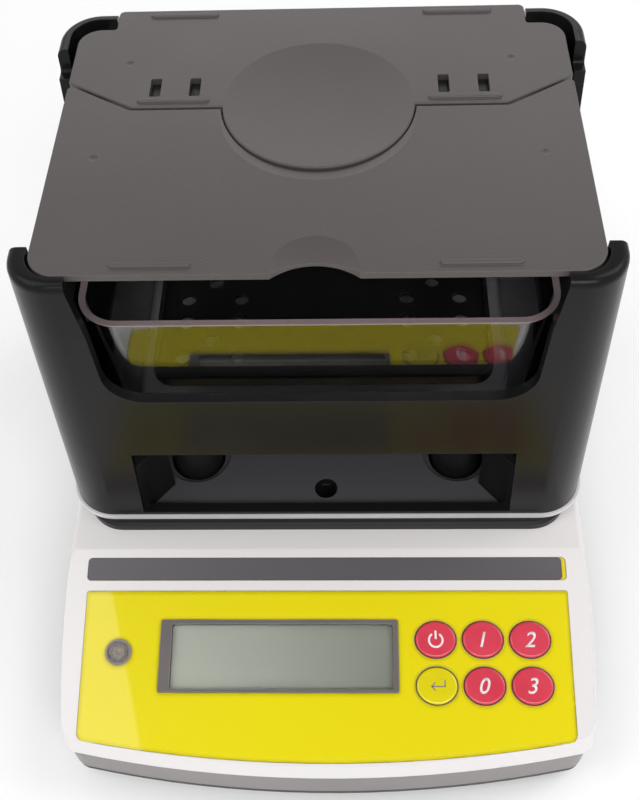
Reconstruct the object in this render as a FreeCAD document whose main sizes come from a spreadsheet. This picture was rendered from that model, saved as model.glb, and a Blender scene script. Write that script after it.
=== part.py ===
import FreeCAD, Part
import math
import os

from FreeCAD import Placement, Rotation, Vector

# Electronic gold tester. Millimetres. X right, Y to the rear, Z up, table at Z = 0.

doc = FreeCAD.newDocument("ElectronicGoldTester")

# Named sizes. Each is set by itself.
SIZES = {
    "base_half_width": 102.0,
    "base_front": -121.0,
    "base_back": 121.0,
    "front_bow_radius": 460.0,
    "side_bow_radius": 384.0,
    "side_bow_lead": 4.0,
    "base_rear_corner": 12.0,
    "base_front_corner": 8.0,
    "pan_bottom": 5.5,
    "pan_thickness": 3.5,
    "rim_level": 29.0,
    "housing_top": 55.0,
    "housing_wall": 3.0,
    "housing_lean": 6.0,
    "lower_inset": 1.5,
    "lower_wall": 3.5,
    "foot_side_margin": 21.0,
    "foot_front_margin": 35.0,
    "foot_back_margin": 23.0,
    "screw_front_side_margin": 9.6,
    "screw_front_margin": 23.0,
    "screw_back_side_margin": 12.0,
    "screw_back_margin": 13.0,
    "screw_radius": 1.5,
    "screw_head_radius": 3.0,
    "boss_radius": 3.6,
    "board_screw_radius": 1.1,
    "cell_screw_radius": 2.0,
    "cell_screw_head_radius": 3.5,
    "panel_slope": 14.0,
    "panel_depth": 77.0,
    "overlay_recess": 0.8,
    "overlay_thickness": 1.0,
    "overlay_side_margin": 14.0,
    "overlay_foot_margin": 2.966,
    "overlay_top": 15.9,
    "strip_top": 3.5,
    "strip_length": 8.25,
    "strip_recess": 1.0,
    "strip_thickness": 0.6,
    "backing_thickness": 0.5,
    "key_half_width": 7.25,
    "key_half_length": 6.45,
    "key_pitch": 16.95,
    "key_row_pitch": 16.3,
    "key_side_margin": 14.3,
    "key_top_margin": 17.8,
    "key_gap": 0.3,
    "key_height": 1.1,
    "key_travel": 0.45,
    "key_lip": 0.95,
    "window_key_margin": 13.5,
    "window_vial_margin": 15.0,
    "window_length": 25.9,
    "window_top_margin": 10.65,
    "vial_radius": 4.8,
    "vial_side_margin": 12.9,
    "vial_top_margin": 22.4,
    "board_depth": 10.4,
    "board_thickness": 1.6,
    "platform_side_margin": 11.0,
    "platform_front_margin": 8.2,
    "platform_back_margin": 14.2,
    "platform_thickness": 4.0,
    "well_radius": 13.0,
    "post_radius": 9.5,
    "post_gap": 1.0,
    "post_side_margin": 45.5,
    "post_front_margin": 28.5,
    "post_back_margin": 24.5,
    "shell_overhang": 5.0,
    "shell_front_margin": 3.3,
    "shell_back_margin": 3.3,
    "shell_height": 127.0,
    "shell_side_lean": 4.6,
    "shell_front_lean": 2.5,
    "shell_back_lean": 2.0,
    "shell_wall": 4.0,
    "shell_corner": 16.0,
    "shell_edge": 3.0,
    "front_cut_depth": 55.0,
    "front_cut_side_margin": 27.0,
    "plate_rise": 0.2,
    "plate_thickness": 2.5,
    "plate_side_gap": 2.7,
    "plate_front_gap": 0.5,
    "plate_back_gap": 6.3,
    "seam_setback": 53.4,
    "seam_side_step": 13.5,
    "seam_side_run": 22.8,
    "seam_gap": 1.2,
    "dish_radius": 31.6,
    "dish_setback": 2.2,
    "dish_depth": 1.8,
    "dish_seam": 0.45,
    "crescent_radius": 32.0,
    "crescent_depth": 1.3,
    "tab_side_margin": 19.8,
    "slot_width": 3.7,
    "slot_length": 9.3,
    "slot_pitch": 13.2,
    "slot_side_margin": 15.5,
    "slot_setback": 10.75,
    "tank_rise": 31.0,
    "tank_rim_gap": 20.7,
    "tank_side_margin": 26.0,
    "tank_front_margin": 10.3,
    "tank_back_margin": 31.1,
    "tank_side_lean": 5.0,
    "tank_front_lean": 2.9,
    "tank_back_lean": 1.6,
    "tank_wall": 2.0,
    "tank_corner": 13.0,
    "tray_rise": 24.0,
    "tray_thickness": 2.0,
    "tray_side_gap": 10.0,
    "tray_front_gap": 13.2,
    "tray_back_gap": 4.9,
    "arm_thickness": 3.0,
    "arm_depth": 8.4,
    "carrier_rise": 17.0,
    "carrier_thickness": 4.0,
    "carrier_overhang": 11.5,
    "cell_spacer_height": 7.0,
    "cell_section": 12.7,
    "cell_length": 80.0,
    "spider_spacer_height": 4.0,
    "spider_thickness": 3.0,
    "peg_radius": 3.0,
    "running_gap": 0.05,
    "foot_pad_radius": 10.0,
    "foot_pad_height": 3.0,
    "foot_screw_radius": 3.0,
    "foot_wheel_radius": 8.5,
    "bush_radius": 5.0,
    "bush_wall": 2.5,
    "main_board_width": 56.0,
    "main_board_length": 58.0,
}

# Places that follow from the sizes.
FOLLOWING = {
    "pan_top": "pan_bottom + pan_thickness",
    "panel_start": "base_front + panel_depth",
    "side_bow_start": "panel_start + side_bow_lead",
    "overlay_half_width": "base_half_width - overlay_side_margin",
    "platform_half_width": "base_half_width - platform_side_margin",
    "platform_front": "panel_start + platform_front_margin",
    "platform_back": "base_back - platform_back_margin",
    "platform_top": "housing_top + platform_thickness",
    "shell_half_width": "platform_half_width + shell_overhang",
    "shell_front": "platform_front + shell_front_margin",
    "shell_back": "platform_back - shell_back_margin",
    "shell_top_half_width": "shell_half_width - shell_side_lean",
    "shell_top_front": "shell_front + shell_front_lean",
    "shell_top_back": "shell_back - shell_back_lean",
    "shell_top": "platform_top + shell_height",
    "cut_floor": "shell_top - front_cut_depth",
    "plate_top": "shell_top + plate_rise",
    "plate_low": "plate_top - plate_thickness",
    "plate_half_width": "shell_top_half_width - shell_wall - plate_side_gap",
    "plate_front": "shell_top_front + shell_wall + plate_front_gap",
    "plate_back": "shell_top_back - shell_wall - plate_back_gap",
    "tab_half_width": "shell_top_half_width - tab_side_margin",
    "tab_back": "shell_top_back + 0.3",
    "seam_y": "shell_top_back - seam_setback",
    "seam_side_y": "seam_y + seam_side_step",
    "seam_x": "plate_half_width - seam_side_run",
    "dish_y": "seam_y + dish_setback",
    "slot_y": "seam_y + slot_setback",
    "post_x": "shell_half_width - post_side_margin",
    "post_front": "shell_front + post_front_margin",
    "post_back": "shell_back - post_back_margin",
    "tank_bottom": "platform_top + tank_rise",
    "tank_rim": "plate_low - tank_rim_gap",
    "tank_half_width": "shell_half_width - tank_side_margin",
    "tank_front": "shell_front + tank_front_margin",
    "tank_back": "shell_back - tank_back_margin",
    "tray_level": "tank_bottom + tray_rise",
    "tray_half_width": "tank_half_width - tray_side_gap",
    "tray_front": "tank_front + tray_front_gap",
    "tray_back": "tank_back - tray_back_gap",
    "carrier_bottom": "platform_top + carrier_rise",
    "carrier_top": "carrier_bottom + carrier_thickness",
    "carrier_half_width": "post_x + carrier_overhang",
    "cell_bottom": "pan_top + cell_spacer_height",
    "cell_top": "cell_bottom + cell_section",
    "cell_front": "(post_front + post_back - cell_length) / 2",
    "cell_back": "cell_front + cell_length",
    "spider_bottom": "cell_top + spider_spacer_height",
}

sheet = doc.addObject("Spreadsheet::Sheet", "Sizes")
for row, (alias, value) in enumerate(SIZES.items(), 1):
    sheet.set("A%d" % row, alias)
    sheet.set("B%d" % row, str(value))
    sheet.setAlias("B%d" % row, alias)
for row, (alias, formula) in enumerate(FOLLOWING.items(), len(SIZES) + 1):
    sheet.set("A%d" % row, alias)
    sheet.set("B%d" % row, "=" + formula)
    sheet.setAlias("B%d" % row, alias)
doc.recompute()

S = {alias: float(sheet.get(alias)) for alias in [*SIZES, *FOLLOWING]}
HERE = Placement()
PANEL = Placement(
    Vector(0, S["panel_start"], S["housing_top"]),
    Rotation(Vector(1, 0, 0), S["panel_slope"]),
)
LAY_XZ = Rotation(Vector(1, 0, 0), 90)
LAY_YZ = Rotation(Vector(0, 1, 0), Vector(0, 0, 1), Vector(1, 0, 0), "ZXY")
PIECES = []


# ---------------------------------------------------------------- helpers

def bind(feature, links):
    """Ties properties of a feature to formulas over the sheet."""
    for name, formula in links.items():
        feature.setExpression(name, formula)
    return feature


def box(label, x, y, z, frame=HERE, **links):
    feature = doc.addObject("Part::Box", label)
    feature.Length = x[1] - x[0]
    feature.Width = y[1] - y[0]
    feature.Height = z[1] - z[0]
    feature.Placement = frame.multiply(Placement(Vector(x[0], y[0], z[0]), Rotation()))
    return bind(feature, links)


def rod(label, radius, at, z, frame=HERE, **links):
    """Upright cylinder standing at a plan position."""
    feature = doc.addObject("Part::Cylinder", label)
    feature.Radius = radius
    feature.Height = z[1] - z[0]
    feature.Placement = frame.multiply(Placement(Vector(at[0], at[1], z[0]), Rotation()))
    return bind(feature, links)


def bar_x(label, radius, x, y, z):
    """Cylinder lying along X."""
    feature = doc.addObject("Part::Cylinder", label)
    feature.Radius = radius
    feature.Height = x[1] - x[0]
    feature.Placement = Placement(Vector(x[0], y, z), Rotation(Vector(0, 1, 0), 90))
    return feature


def bar_y(label, radius, x, y, z):
    """Cylinder lying along Y."""
    feature = doc.addObject("Part::Cylinder", label)
    feature.Radius = radius
    feature.Height = y[1] - y[0]
    feature.Placement = Placement(Vector(x, y[0], z), Rotation(Vector(1, 0, 0), -90))
    return feature


def rounded(corners):
    """Closed outline from (x, y, corner radius) points."""
    edges = []
    starts = []
    count = len(corners)
    for index, (x, y, radius) in enumerate(corners):
        here = Vector(x, y, 0)
        back = (Vector(*corners[index - 1][:2], 0) - here).normalize()
        ahead = (Vector(*corners[(index + 1) % count][:2], 0) - here).normalize()
        if radius == 0:
            starts.append((here, here, None))
            continue
        half = math.acos(max(-1.0, min(1.0, back.dot(ahead)))) / 2
        reach = radius / math.tan(half)
        middle = (back + ahead).normalize()
        centre = here + middle * (radius / math.sin(half))
        nearest = centre - middle * radius
        starts.append((here + back * reach, here + ahead * reach, nearest))
    for index, (first, last, nearest) in enumerate(starts):
        if nearest is not None:
            edges.append(Part.Arc(first, nearest, last))
        following = starts[(index + 1) % count][0]
        if last.distanceToPoint(following) > 1e-6:
            edges.append(Part.LineSegment(last, following))
    return edges


def plain_rect(x0, x1, y0, y1, radius):
    return rounded([(x0, y0, radius), (x1, y0, radius), (x1, y1, radius), (x0, y1, radius)])


def sketch_of(label, edges, placement):
    sketch = doc.addObject("Sketcher::SketchObject", label)
    sketch.addGeometry(edges, False)
    sketch.Placement = placement
    return sketch


def slab(label, edges, z, frame=HERE, lay=None, **links):
    """Padded outline. Lies flat, or stands as lay says, and fills z[0] to z[1]."""
    length = z[1] - z[0]
    if lay is None:
        local = Placement(Vector(0, 0, z[0]), Rotation())
    elif lay is LAY_XZ:
        local = Placement(Vector(0, z[1], 0), lay)
    else:
        local = Placement(Vector(z[0], 0, 0), lay)
    body = doc.addObject("PartDesign::Body", label)
    sketch = body.newObject("Sketcher::SketchObject", label + "_outline")
    sketch.addGeometry(edges, False)
    sketch.Placement = local
    pad = body.newObject("PartDesign::Pad", label + "_pad")
    pad.Profile = sketch
    pad.Length = length
    body.Placement = frame
    bind(pad, links)
    return body


def taper(label, low_edges, low_z, high_edges, high_z):
    """Solid between a low and a high outline."""
    loft = doc.addObject("Part::Loft", label)
    low = sketch_of(label + "_low", low_edges, Placement(Vector(0, 0, low_z), Rotation()))
    high = sketch_of(label + "_high", high_edges, Placement(Vector(0, 0, high_z), Rotation()))
    loft.Sections = [low, high]
    loft.Solid = True
    loft.Ruled = True
    return loft


def fuse(label, *parts):
    joined = doc.addObject("Part::MultiFuse", label)
    joined.Shapes = list(parts)
    return joined


def cut(label, base, *tools):
    feature = doc.addObject("Part::Cut", label)
    feature.Base = base
    feature.Tool = tools[0] if len(tools) == 1 else fuse(label + "_tools", *tools)
    return feature


def overlap(label, *parts):
    feature = doc.addObject("Part::MultiCommon", label)
    feature.Shapes = list(parts)
    return feature


def group(label, parts):
    feature = doc.addObject("Part::Compound", label)
    feature.Links = list(parts)
    return feature


def flipped(label, source):
    """Mirror image on the other side of the centre plane."""
    feature = doc.addObject("Part::Mirroring", label)
    feature.Source = source
    feature.Normal = Vector(1, 0, 0)
    return feature


def both(label, part):
    return [part, flipped(label + "_left", part)]


def soften(label, base, radius, chosen):
    """Rounds the edges that the test picks."""
    doc.recompute()
    feature = doc.addObject("Part::Fillet", label)
    feature.Base = base
    picked = []
    for number, edge in enumerate(base.Shape.Edges, 1):
        if chosen(edge):
            picked.append((number, radius, radius))
    feature.Edges = picked
    return feature


def bevel(label, base, size, chosen):
    """Chamfers the edges that the test picks."""
    doc.recompute()
    feature = doc.addObject("Part::Chamfer", label)
    feature.Base = base
    picked = []
    for number, edge in enumerate(base.Shape.Edges, 1):
        if chosen(edge):
            picked.append((number, size, size))
    feature.Edges = picked
    return feature


def at_level(level):
    """Picks edges that lie flat at one height."""
    def test(edge):
        bounds = edge.BoundBox
        return abs(bounds.ZMin - level) < 0.01 and abs(bounds.ZMax - level) < 0.01
    return test


def piece(node, feature):
    PIECES.append((node, feature))
    return feature


def corners4(x, front, back):
    return [(x, front), (-x, front), (x, back), (-x, back)]


# ---------------------------------------------------------------- base outline

def base_outline(inset, corner, rear_corner):
    """Outline of the base in plan, drawn in by an inset: bowed front and sides."""
    width = S["base_half_width"] - inset
    back = S["base_back"] - inset
    front_radius = S["front_bow_radius"] - inset
    front_centre = Vector(0, S["base_front"] + S["front_bow_radius"], 0)
    side_radius = S["side_bow_radius"] - inset
    side_centre = Vector(S["base_half_width"] - S["side_bow_radius"], S["side_bow_start"], 0)
    reach_front = front_radius - corner
    reach_side = side_radius - corner
    apart = side_centre - front_centre
    gap = apart.Length
    along = (reach_front ** 2 - reach_side ** 2 + gap ** 2) / (2 * gap)
    aside = math.sqrt(reach_front ** 2 - along ** 2)
    way = Vector(apart).normalize()
    across = Vector(-way.y, way.x, 0)
    options = [front_centre + way * along + across * side * aside for side in (1, -1)]
    corner_centre = min(options, key=lambda point: point.y)
    front_way = (corner_centre - front_centre).normalize()
    side_way = (corner_centre - side_centre).normalize()
    front_end = corner_centre + front_way * corner
    side_end = corner_centre + side_way * corner
    corner_mid = corner_centre + (front_way + side_way).normalize() * corner
    side_top = Vector(width, S["side_bow_start"], 0)
    side_mid = side_centre + ((side_end - side_centre) + (side_top - side_centre)).normalize() * side_radius
    front_mid = Vector(0, S["base_front"] + inset, 0)
    rear_side = Vector(width, back - rear_corner, 0)
    rear_end = Vector(width - rear_corner, back, 0)
    diagonal = rear_corner * (1 - math.sqrt(0.5))
    rear_mid = Vector(width - diagonal, back - diagonal, 0)

    def left(point):
        return Vector(-point.x, point.y, 0)

    return [
        Part.Arc(left(front_end), front_mid, front_end),
        Part.Arc(front_end, corner_mid, side_end),
        Part.Arc(side_end, side_mid, side_top),
        Part.LineSegment(side_top, rear_side),
        Part.Arc(rear_side, rear_mid, rear_end),
        Part.LineSegment(rear_end, left(rear_end)),
        Part.Arc(left(rear_end), left(rear_mid), left(rear_side)),
        Part.LineSegment(left(rear_side), left(side_top)),
        Part.Arc(left(side_top), left(side_mid), left(side_end)),
        Part.Arc(left(side_end), left(corner_mid), left(front_end)),
    ]


FOOT_SPOTS = corners4(
    S["base_half_width"] - S["foot_side_margin"],
    S["base_front"] + S["foot_front_margin"], S["base_back"] - S["foot_back_margin"],
)


def half_width_at(y):
    """Half width of the base where its side bows in towards the front."""
    run = min(0.0, y - S["side_bow_start"])
    return S["base_half_width"] - S["side_bow_radius"] + math.sqrt(S["side_bow_radius"] ** 2 - run ** 2)


HOUSING_SCREW_SPOTS = [
    (side * (half_width_at(y) - margin), y)
    for margin, y in (
        (S["screw_front_side_margin"], S["base_front"] + S["screw_front_margin"]),
        (S["screw_back_side_margin"], S["base_back"] - S["screw_back_margin"]),
    ) for side in (1, -1)
]
SHELL_SCREW_SPOTS = corners4(S["shell_half_width"] - 12.0, S["shell_front"] + 42.5, S["shell_back"] - 23.5)
POST_SPOTS = corners4(S["post_x"], S["post_front"], S["post_back"])

# The panel, measured on its slope from the panel frame. Keys, window and vial fill it from the sides.
OVERLAY_FOOT = -(S["panel_depth"] - S["overlay_foot_margin"]) / math.cos(math.radians(S["panel_slope"]))
KEY_LAST = S["overlay_half_width"] - S["key_side_margin"]
KEY_COLUMNS = tuple(KEY_LAST - S["key_pitch"] * n for n in (2, 1, 0))
KEY_TOP_ROW = -S["overlay_top"] - S["key_top_margin"]
KEY_ROWS = (KEY_TOP_ROW, KEY_TOP_ROW - S["key_row_pitch"])
VIAL_SPOT = (S["vial_side_margin"] - S["overlay_half_width"], -S["overlay_top"] - S["vial_top_margin"])
WINDOW_LEFT = VIAL_SPOT[0] + S["window_vial_margin"]
WINDOW_RIGHT = KEY_COLUMNS[0] - S["window_key_margin"]
WINDOW_BACK = -S["overlay_top"] - S["window_top_margin"]
WINDOW_FRONT = WINDOW_BACK - S["window_length"]
BOARD_LEFT = WINDOW_LEFT - 5.9
BOARD_RIGHT = KEY_LAST + 9.8
BOARD_BACK = -S["overlay_top"] - 5.6
BOARD_FRONT = OVERLAY_FOOT + 14.3
BOARD_SPOTS = [
    (x, y) for x in (BOARD_LEFT + 3.0, WINDOW_RIGHT + 3.2, BOARD_RIGHT - 3.0)
    for y in (BOARD_BACK - 2.5, BOARD_FRONT + 2.5)
]

MAIN_BOARD_RIGHT = -S["cell_section"] / 2 - 7.65
MAIN_BOARD_LEFT = MAIN_BOARD_RIGHT - S["main_board_width"]
MAIN_BOARD_BACK = S["base_back"] - 35.0
MAIN_BOARD_FRONT = MAIN_BOARD_BACK - S["main_board_length"]
MAIN_BOARD_SPOTS = [
    (x, y) for x in (MAIN_BOARD_LEFT + 4.0, MAIN_BOARD_RIGHT - 4.0)
    for y in (MAIN_BOARD_FRONT + 4.0, MAIN_BOARD_BACK - 4.0)
]
CELL_FRONT_SCREWS = (S["cell_front"] + 5.0, S["cell_front"] + 15.0)
CELL_BACK_SCREWS = (S["cell_back"] - 15.0, S["cell_back"] - 5.0)
STOP_Y = S["cell_front"] + 10.0
CENTRE_HOLE = (0, S["platform_front"] + 15.8)

screw = S["screw_radius"]
screw_head = S["screw_head_radius"]
boss = S["boss_radius"]
board_screw_hole = S["board_screw_radius"]
cell_screw = S["cell_screw_radius"]
cell_screw_head = S["cell_screw_head_radius"]
pan_bottom = S["pan_bottom"]
pan_top = S["pan_top"]
pan_boss_top = pan_top + 6.0
main_board_low = pan_top + 5.0
screw_head_room = pan_bottom + 2.0
rim = S["rim_level"]
top = S["housing_top"]
inner_inset = S["lower_inset"] + S["lower_wall"]

# ---------------------------------------------------------------- base pan

pan_floor = slab(
    "pan_floor", base_outline(S["lower_inset"] + 0.3, 6.5, 10.5), (pan_bottom, pan_top),
    Length="Sizes.pan_top - Sizes.pan_bottom",
)
pan_rib = cut(
    "pan_rib",
    slab("pan_rib_outer", base_outline(inner_inset + 0.1, 5.5, 7.0), (pan_top - 1, pan_top + 3)),
    slab("pan_rib_inner", base_outline(inner_inset + 1.7, 5.0, 6.0), (pan_top - 2, pan_top + 4)),
)
pan_bosses = [
    rod("foot_boss_%d" % n, S["bush_radius"] + S["bush_wall"], spot, (pan_top - 1, pan_boss_top))
    for n, spot in enumerate(FOOT_SPOTS)
]
pan_posts = [
    rod("board_post_%d" % n, board_screw_hole + 1.5, spot, (pan_top - 1, main_board_low))
    for n, spot in enumerate(MAIN_BOARD_SPOTS)
]
pan_holes = [
    rod("bush_hole_%d" % n, S["bush_radius"], spot, (0, pan_boss_top + 5))
    for n, spot in enumerate(FOOT_SPOTS)
]
for n, spot in enumerate(HOUSING_SCREW_SPOTS):
    pan_holes.append(rod("housing_screw_hole_%d" % n, screw, spot, (0, pan_top + 3)))
    pan_holes.append(rod("housing_screw_head_hole_%d" % n, screw_head + 0.2, spot, (0, screw_head_room)))
    pan_holes.append(rod("boss_room_%d" % n, boss + 0.1, spot, (pan_top, pan_boss_top + 5)))
for n, spot in enumerate(MAIN_BOARD_SPOTS):
    pan_holes.append(rod("board_screw_hole_%d" % n, board_screw_hole, spot, (pan_top + 0.6, pan_boss_top)))
for n, y in enumerate(CELL_BACK_SCREWS):
    pan_holes.append(rod("cell_screw_hole_%d" % n, cell_screw, (0, y), (0, pan_top + 3)))
    pan_holes.append(rod(
        "cell_screw_head_hole_%d" % n, cell_screw_head + 0.1, (0, y), (0, screw_head_room + 0.1),
    ))
pan_holes.append(rod("stop_hole", cell_screw, (0, STOP_Y), (pan_bottom + 1, pan_top + 3)))
piece("base_pan", cut("base_pan", fuse("pan_solid", pan_floor, pan_rib, *pan_bosses, *pan_posts), *pan_holes))

# ---------------------------------------------------------------- lower housing

INLET_X = -60.0
PORT_X = -25.0
lower_ring = slab("lower_ring", base_outline(S["lower_inset"], 7.0, 11.0), (pan_top, rim))
lower_tongue = slab("lower_tongue", base_outline(4.0, 6.0, 8.5), (rim - 1, rim + 3))
lower_room = slab("lower_room", base_outline(inner_inset, 5.6, 7.1), (pan_top - 1, rim + 4))
SOCKET_BACK = S["base_back"]
INLET_LEVEL = pan_top + 10.0
PORT_LEVEL = pan_top + 10.2
inlet_hole = box(
    "inlet_hole", (INLET_X - 7, INLET_X + 7), (SOCKET_BACK - 11, SOCKET_BACK + 4),
    (INLET_LEVEL - 5.5, INLET_LEVEL + 5.5),
)
port_hole = slab(
    "port_hole", plain_rect(PORT_X - 8.6, PORT_X + 8.6, PORT_LEVEL - 4.3, PORT_LEVEL + 4.3, 2.6),
    (SOCKET_BACK - 11, SOCKET_BACK + 4), lay=LAY_XZ,
)
piece("lower_housing", cut(
    "lower_housing", fuse("lower_solid", lower_ring, lower_tongue), lower_room, inlet_hole, port_hole,
))

# ---------------------------------------------------------------- upper housing

lean = S["housing_lean"]
wall = S["housing_wall"]
upper_block = taper(
    "upper_block",
    base_outline(0.0, S["base_front_corner"], S["base_rear_corner"]), rim,
    base_outline(lean, 3.0, 7.0), top,
)
reach = S["base_half_width"] + 28.0
upper_slope = box("upper_slope", (-reach, reach), (-220, 0), (0, 80), frame=PANEL)
upper_outside = soften(
    "upper_outside", cut("upper_sloped", upper_block, upper_slope), 2.4, at_level(top),
)
upper_room_block = taper(
    "upper_room_block",
    base_outline(wall, 6.0, 9.0), rim,
    base_outline(wall + lean, 3.0, 4.0), top - wall,
)
under_panel = PANEL.multiply(Placement(Vector(0, 0, -wall), Rotation()))
upper_room_slope = box("upper_room_slope", (-reach, reach), (-220, 0), (0, 80), frame=under_panel)
upper_room = cut("upper_room", upper_room_block, upper_room_slope)
upper_walls = cut("upper_walls", upper_outside, upper_room)
upper_bosses = overlap(
    "upper_bosses",
    fuse("upper_boss_rods", *[
        rod("housing_boss_%d" % n, boss, spot, (rim, top)) for n, spot in enumerate(HOUSING_SCREW_SPOTS)
    ]),
    upper_outside,
)
boss_stalks = [
    rod("housing_boss_stalk_%d" % n, boss, spot, (pan_top, rim + 4))
    for n, spot in enumerate(HOUSING_SCREW_SPOTS)
]
board_stalks = [
    rod("board_stalk_%d" % n, board_screw_hole + 1.4, spot, (-S["board_depth"], -wall + 0.5), frame=PANEL)
    for n, spot in enumerate(BOARD_SPOTS)
]


def overlay_outline(grow):
    """Outline of the panel overlay on the slope: straight top, bowed foot."""
    side = S["overlay_half_width"] + grow
    head = -S["overlay_top"] + grow
    foot = OVERLAY_FOOT + 10.3
    top_corner = 1.0
    middle = Vector(0, OVERLAY_FOOT - grow, 0)
    low_right = Vector(side - 4, foot - 3.4 - grow * 0.7, 0)
    side_right = Vector(side, foot, 0)
    corner_right = Vector(side - 0.9, foot - 2.4 - grow * 0.4, 0)
    head_right = Vector(side + 0.4, head - top_corner, 0)
    head_mid = Vector(side + 0.1, head - top_corner * 0.3, 0)
    head_end = Vector(side + 0.4 - top_corner, head, 0)

    def left(point):
        return Vector(-point.x, point.y, 0)

    return [
        Part.Arc(left(low_right), middle, low_right),
        Part.Arc(low_right, corner_right, side_right),
        Part.LineSegment(side_right, head_right),
        Part.Arc(head_right, head_mid, head_end),
        Part.LineSegment(head_end, left(head_end)),
        Part.Arc(left(head_end), left(head_mid), left(head_right)),
        Part.LineSegment(left(head_right), left(side_right)),
        Part.Arc(left(side_right), left(corner_right), left(low_right)),
    ]


def ellipse(spot, half_width, half_length):
    return [Part.Ellipse(Vector(spot[0], spot[1], 0), half_width, half_length)]


def window_rect(left, right, front, back, radius):
    """Rectangle in the display window, drawn in from each of its sides."""
    return plain_rect(
        WINDOW_LEFT + left, WINDOW_RIGHT - right, WINDOW_FRONT + front, WINDOW_BACK - back, radius,
    )


def view_rect(inset, radius):
    """The open view of the display, off centre in its frame."""
    return window_rect(4.1 + inset, 1.8 + inset, 1.0 + inset, 1.6 + inset, radius)


def strip_rect(left, right, ends, radius):
    """Rectangle of the strip above the overlay, drawn in from its sides."""
    side = S["overlay_half_width"] + 1.0
    back = -S["strip_top"]
    front = back - S["strip_length"]
    return plain_rect(left - side, side - right, front + ends, back - ends, radius)


overlay_recess = slab("overlay_recess", overlay_outline(0.15), (-S["overlay_recess"], 3), frame=PANEL)
strip_recess = slab(
    "strip_recess", strip_rect(0, 0.3, -0.2, 1.6), (-S["strip_recess"], 3), frame=PANEL,
)
upper_openings = [overlay_recess, strip_recess]
upper_openings.append(slab("window_opening", window_rect(0.6, 0.6, 0.35, 0.35, 1.5), (-8, 3), frame=PANEL))
for column, x in enumerate(KEY_COLUMNS):
    for line, y in enumerate(KEY_ROWS):
        upper_openings.append(slab(
            "key_opening_%d%d" % (column, line),
            ellipse((x, y), S["key_half_width"] + S["key_gap"], S["key_half_length"] + S["key_gap"]),
            (-8, 3), frame=PANEL,
        ))
upper_openings.append(rod("vial_opening", S["vial_radius"], VIAL_SPOT, (-8, 3), frame=PANEL))
for n, spot in enumerate(POST_SPOTS):
    upper_openings.append(rod("post_opening_%d" % n, S["well_radius"] + 1.0, spot, (top - 10, top + 5)))
upper_openings.append(rod("centre_opening", 6.0, CENTRE_HOLE, (top - 10, top + 5)))
for n, spot in enumerate(SHELL_SCREW_SPOTS):
    upper_openings.append(rod("shell_screw_opening_%d" % n, screw, spot, (top - 10, top + 5)))
for n, spot in enumerate(HOUSING_SCREW_SPOTS):
    upper_openings.append(rod("housing_screw_pilot_%d" % n, screw, spot, (pan_top - 1, pan_top + 13)))
for n, spot in enumerate(BOARD_SPOTS):
    upper_openings.append(rod(
        "board_pilot_%d" % n, board_screw_hole, spot, (-S["board_depth"] - 1, -6), frame=PANEL,
    ))
piece("upper_housing", cut(
    "upper_housing",
    fuse("upper_solid", upper_walls, upper_bosses, *boss_stalks, *board_stalks),
    *upper_openings,
))

# ---------------------------------------------------------------- panel pieces

overlay_low = -S["overlay_recess"]
overlay_high = overlay_low + S["overlay_thickness"]
overlay_holes = [slab(
    "overlay_window", window_rect(-0.1, -0.1, -0.1, -0.1, 0.9), (-3, 3), frame=PANEL,
)]
for column, x in enumerate(KEY_COLUMNS):
    for line, y in enumerate(KEY_ROWS):
        overlay_holes.append(slab(
            "overlay_key_%d%d" % (column, line),
            ellipse((x, y), S["key_half_width"] + S["key_gap"], S["key_half_length"] + S["key_gap"]),
            (-3, 3), frame=PANEL,
        ))
overlay_holes.append(rod("overlay_vial", S["vial_radius"], VIAL_SPOT, (-3, 3), frame=PANEL))
overlay_sheet = slab(
    "overlay_sheet", overlay_outline(0.0), (overlay_low, overlay_high), frame=PANEL,
    Length="Sizes.overlay_thickness",
)
piece("keypad_overlay", cut("keypad_overlay", overlay_sheet, *overlay_holes))

backing_low = -S["strip_recess"]
backing_high = backing_low + S["backing_thickness"]
piece("strip_backing", slab(
    "strip_backing", strip_rect(0.2, 0.5, 0, 1.4), (backing_low, backing_high), frame=PANEL,
    Length="Sizes.backing_thickness",
))
piece("front_strip", slab(
    "front_strip", strip_rect(0.2, 1.9, 0, 1.4),
    (backing_high, backing_high + S["strip_thickness"]), frame=PANEL,
    Length="Sizes.strip_thickness",
))

bezel_flange = slab(
    "bezel_flange", window_rect(0, 0, 0, 0, 0.8), (overlay_low, overlay_high + 0.3), frame=PANEL,
)
LCD_LOW = -5.0
bezel_body = slab(
    "bezel_body", window_rect(0.6, 0.6, 0.35, 0.35, 1.5), (LCD_LOW, overlay_low + 0.1), frame=PANEL,
)
piece("display_bezel", cut(
    "display_bezel",
    fuse("bezel_solid", bezel_flange, bezel_body),
    slab("bezel_view", view_rect(0, 0.8), (-8, 3), frame=PANEL),
))
piece("display_lens", slab("display_lens", view_rect(0, 0.8), (-0.9, 0.2), frame=PANEL))
piece("lcd_glass", slab("lcd_glass", view_rect(0, 0.8), (LCD_LOW, LCD_LOW + 2.6), frame=PANEL))
piece("backlight_block", slab(
    "backlight_block", view_rect(0.8, 0.8), (-S["board_depth"], LCD_LOW), frame=PANEL,
))

board_top = -S["board_depth"]
board_low = board_top - S["board_thickness"]
control_sheet = slab(
    "control_sheet", plain_rect(BOARD_LEFT, BOARD_RIGHT, BOARD_FRONT, BOARD_BACK, 1.5),
    (board_low, board_top), frame=PANEL, Length="Sizes.board_thickness",
)
piece("control_board", cut("control_board", control_sheet, *[
    rod("control_hole_%d" % n, board_screw_hole, spot, (-20, 0), frame=PANEL)
    for n, spot in enumerate(BOARD_SPOTS)
]))

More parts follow.
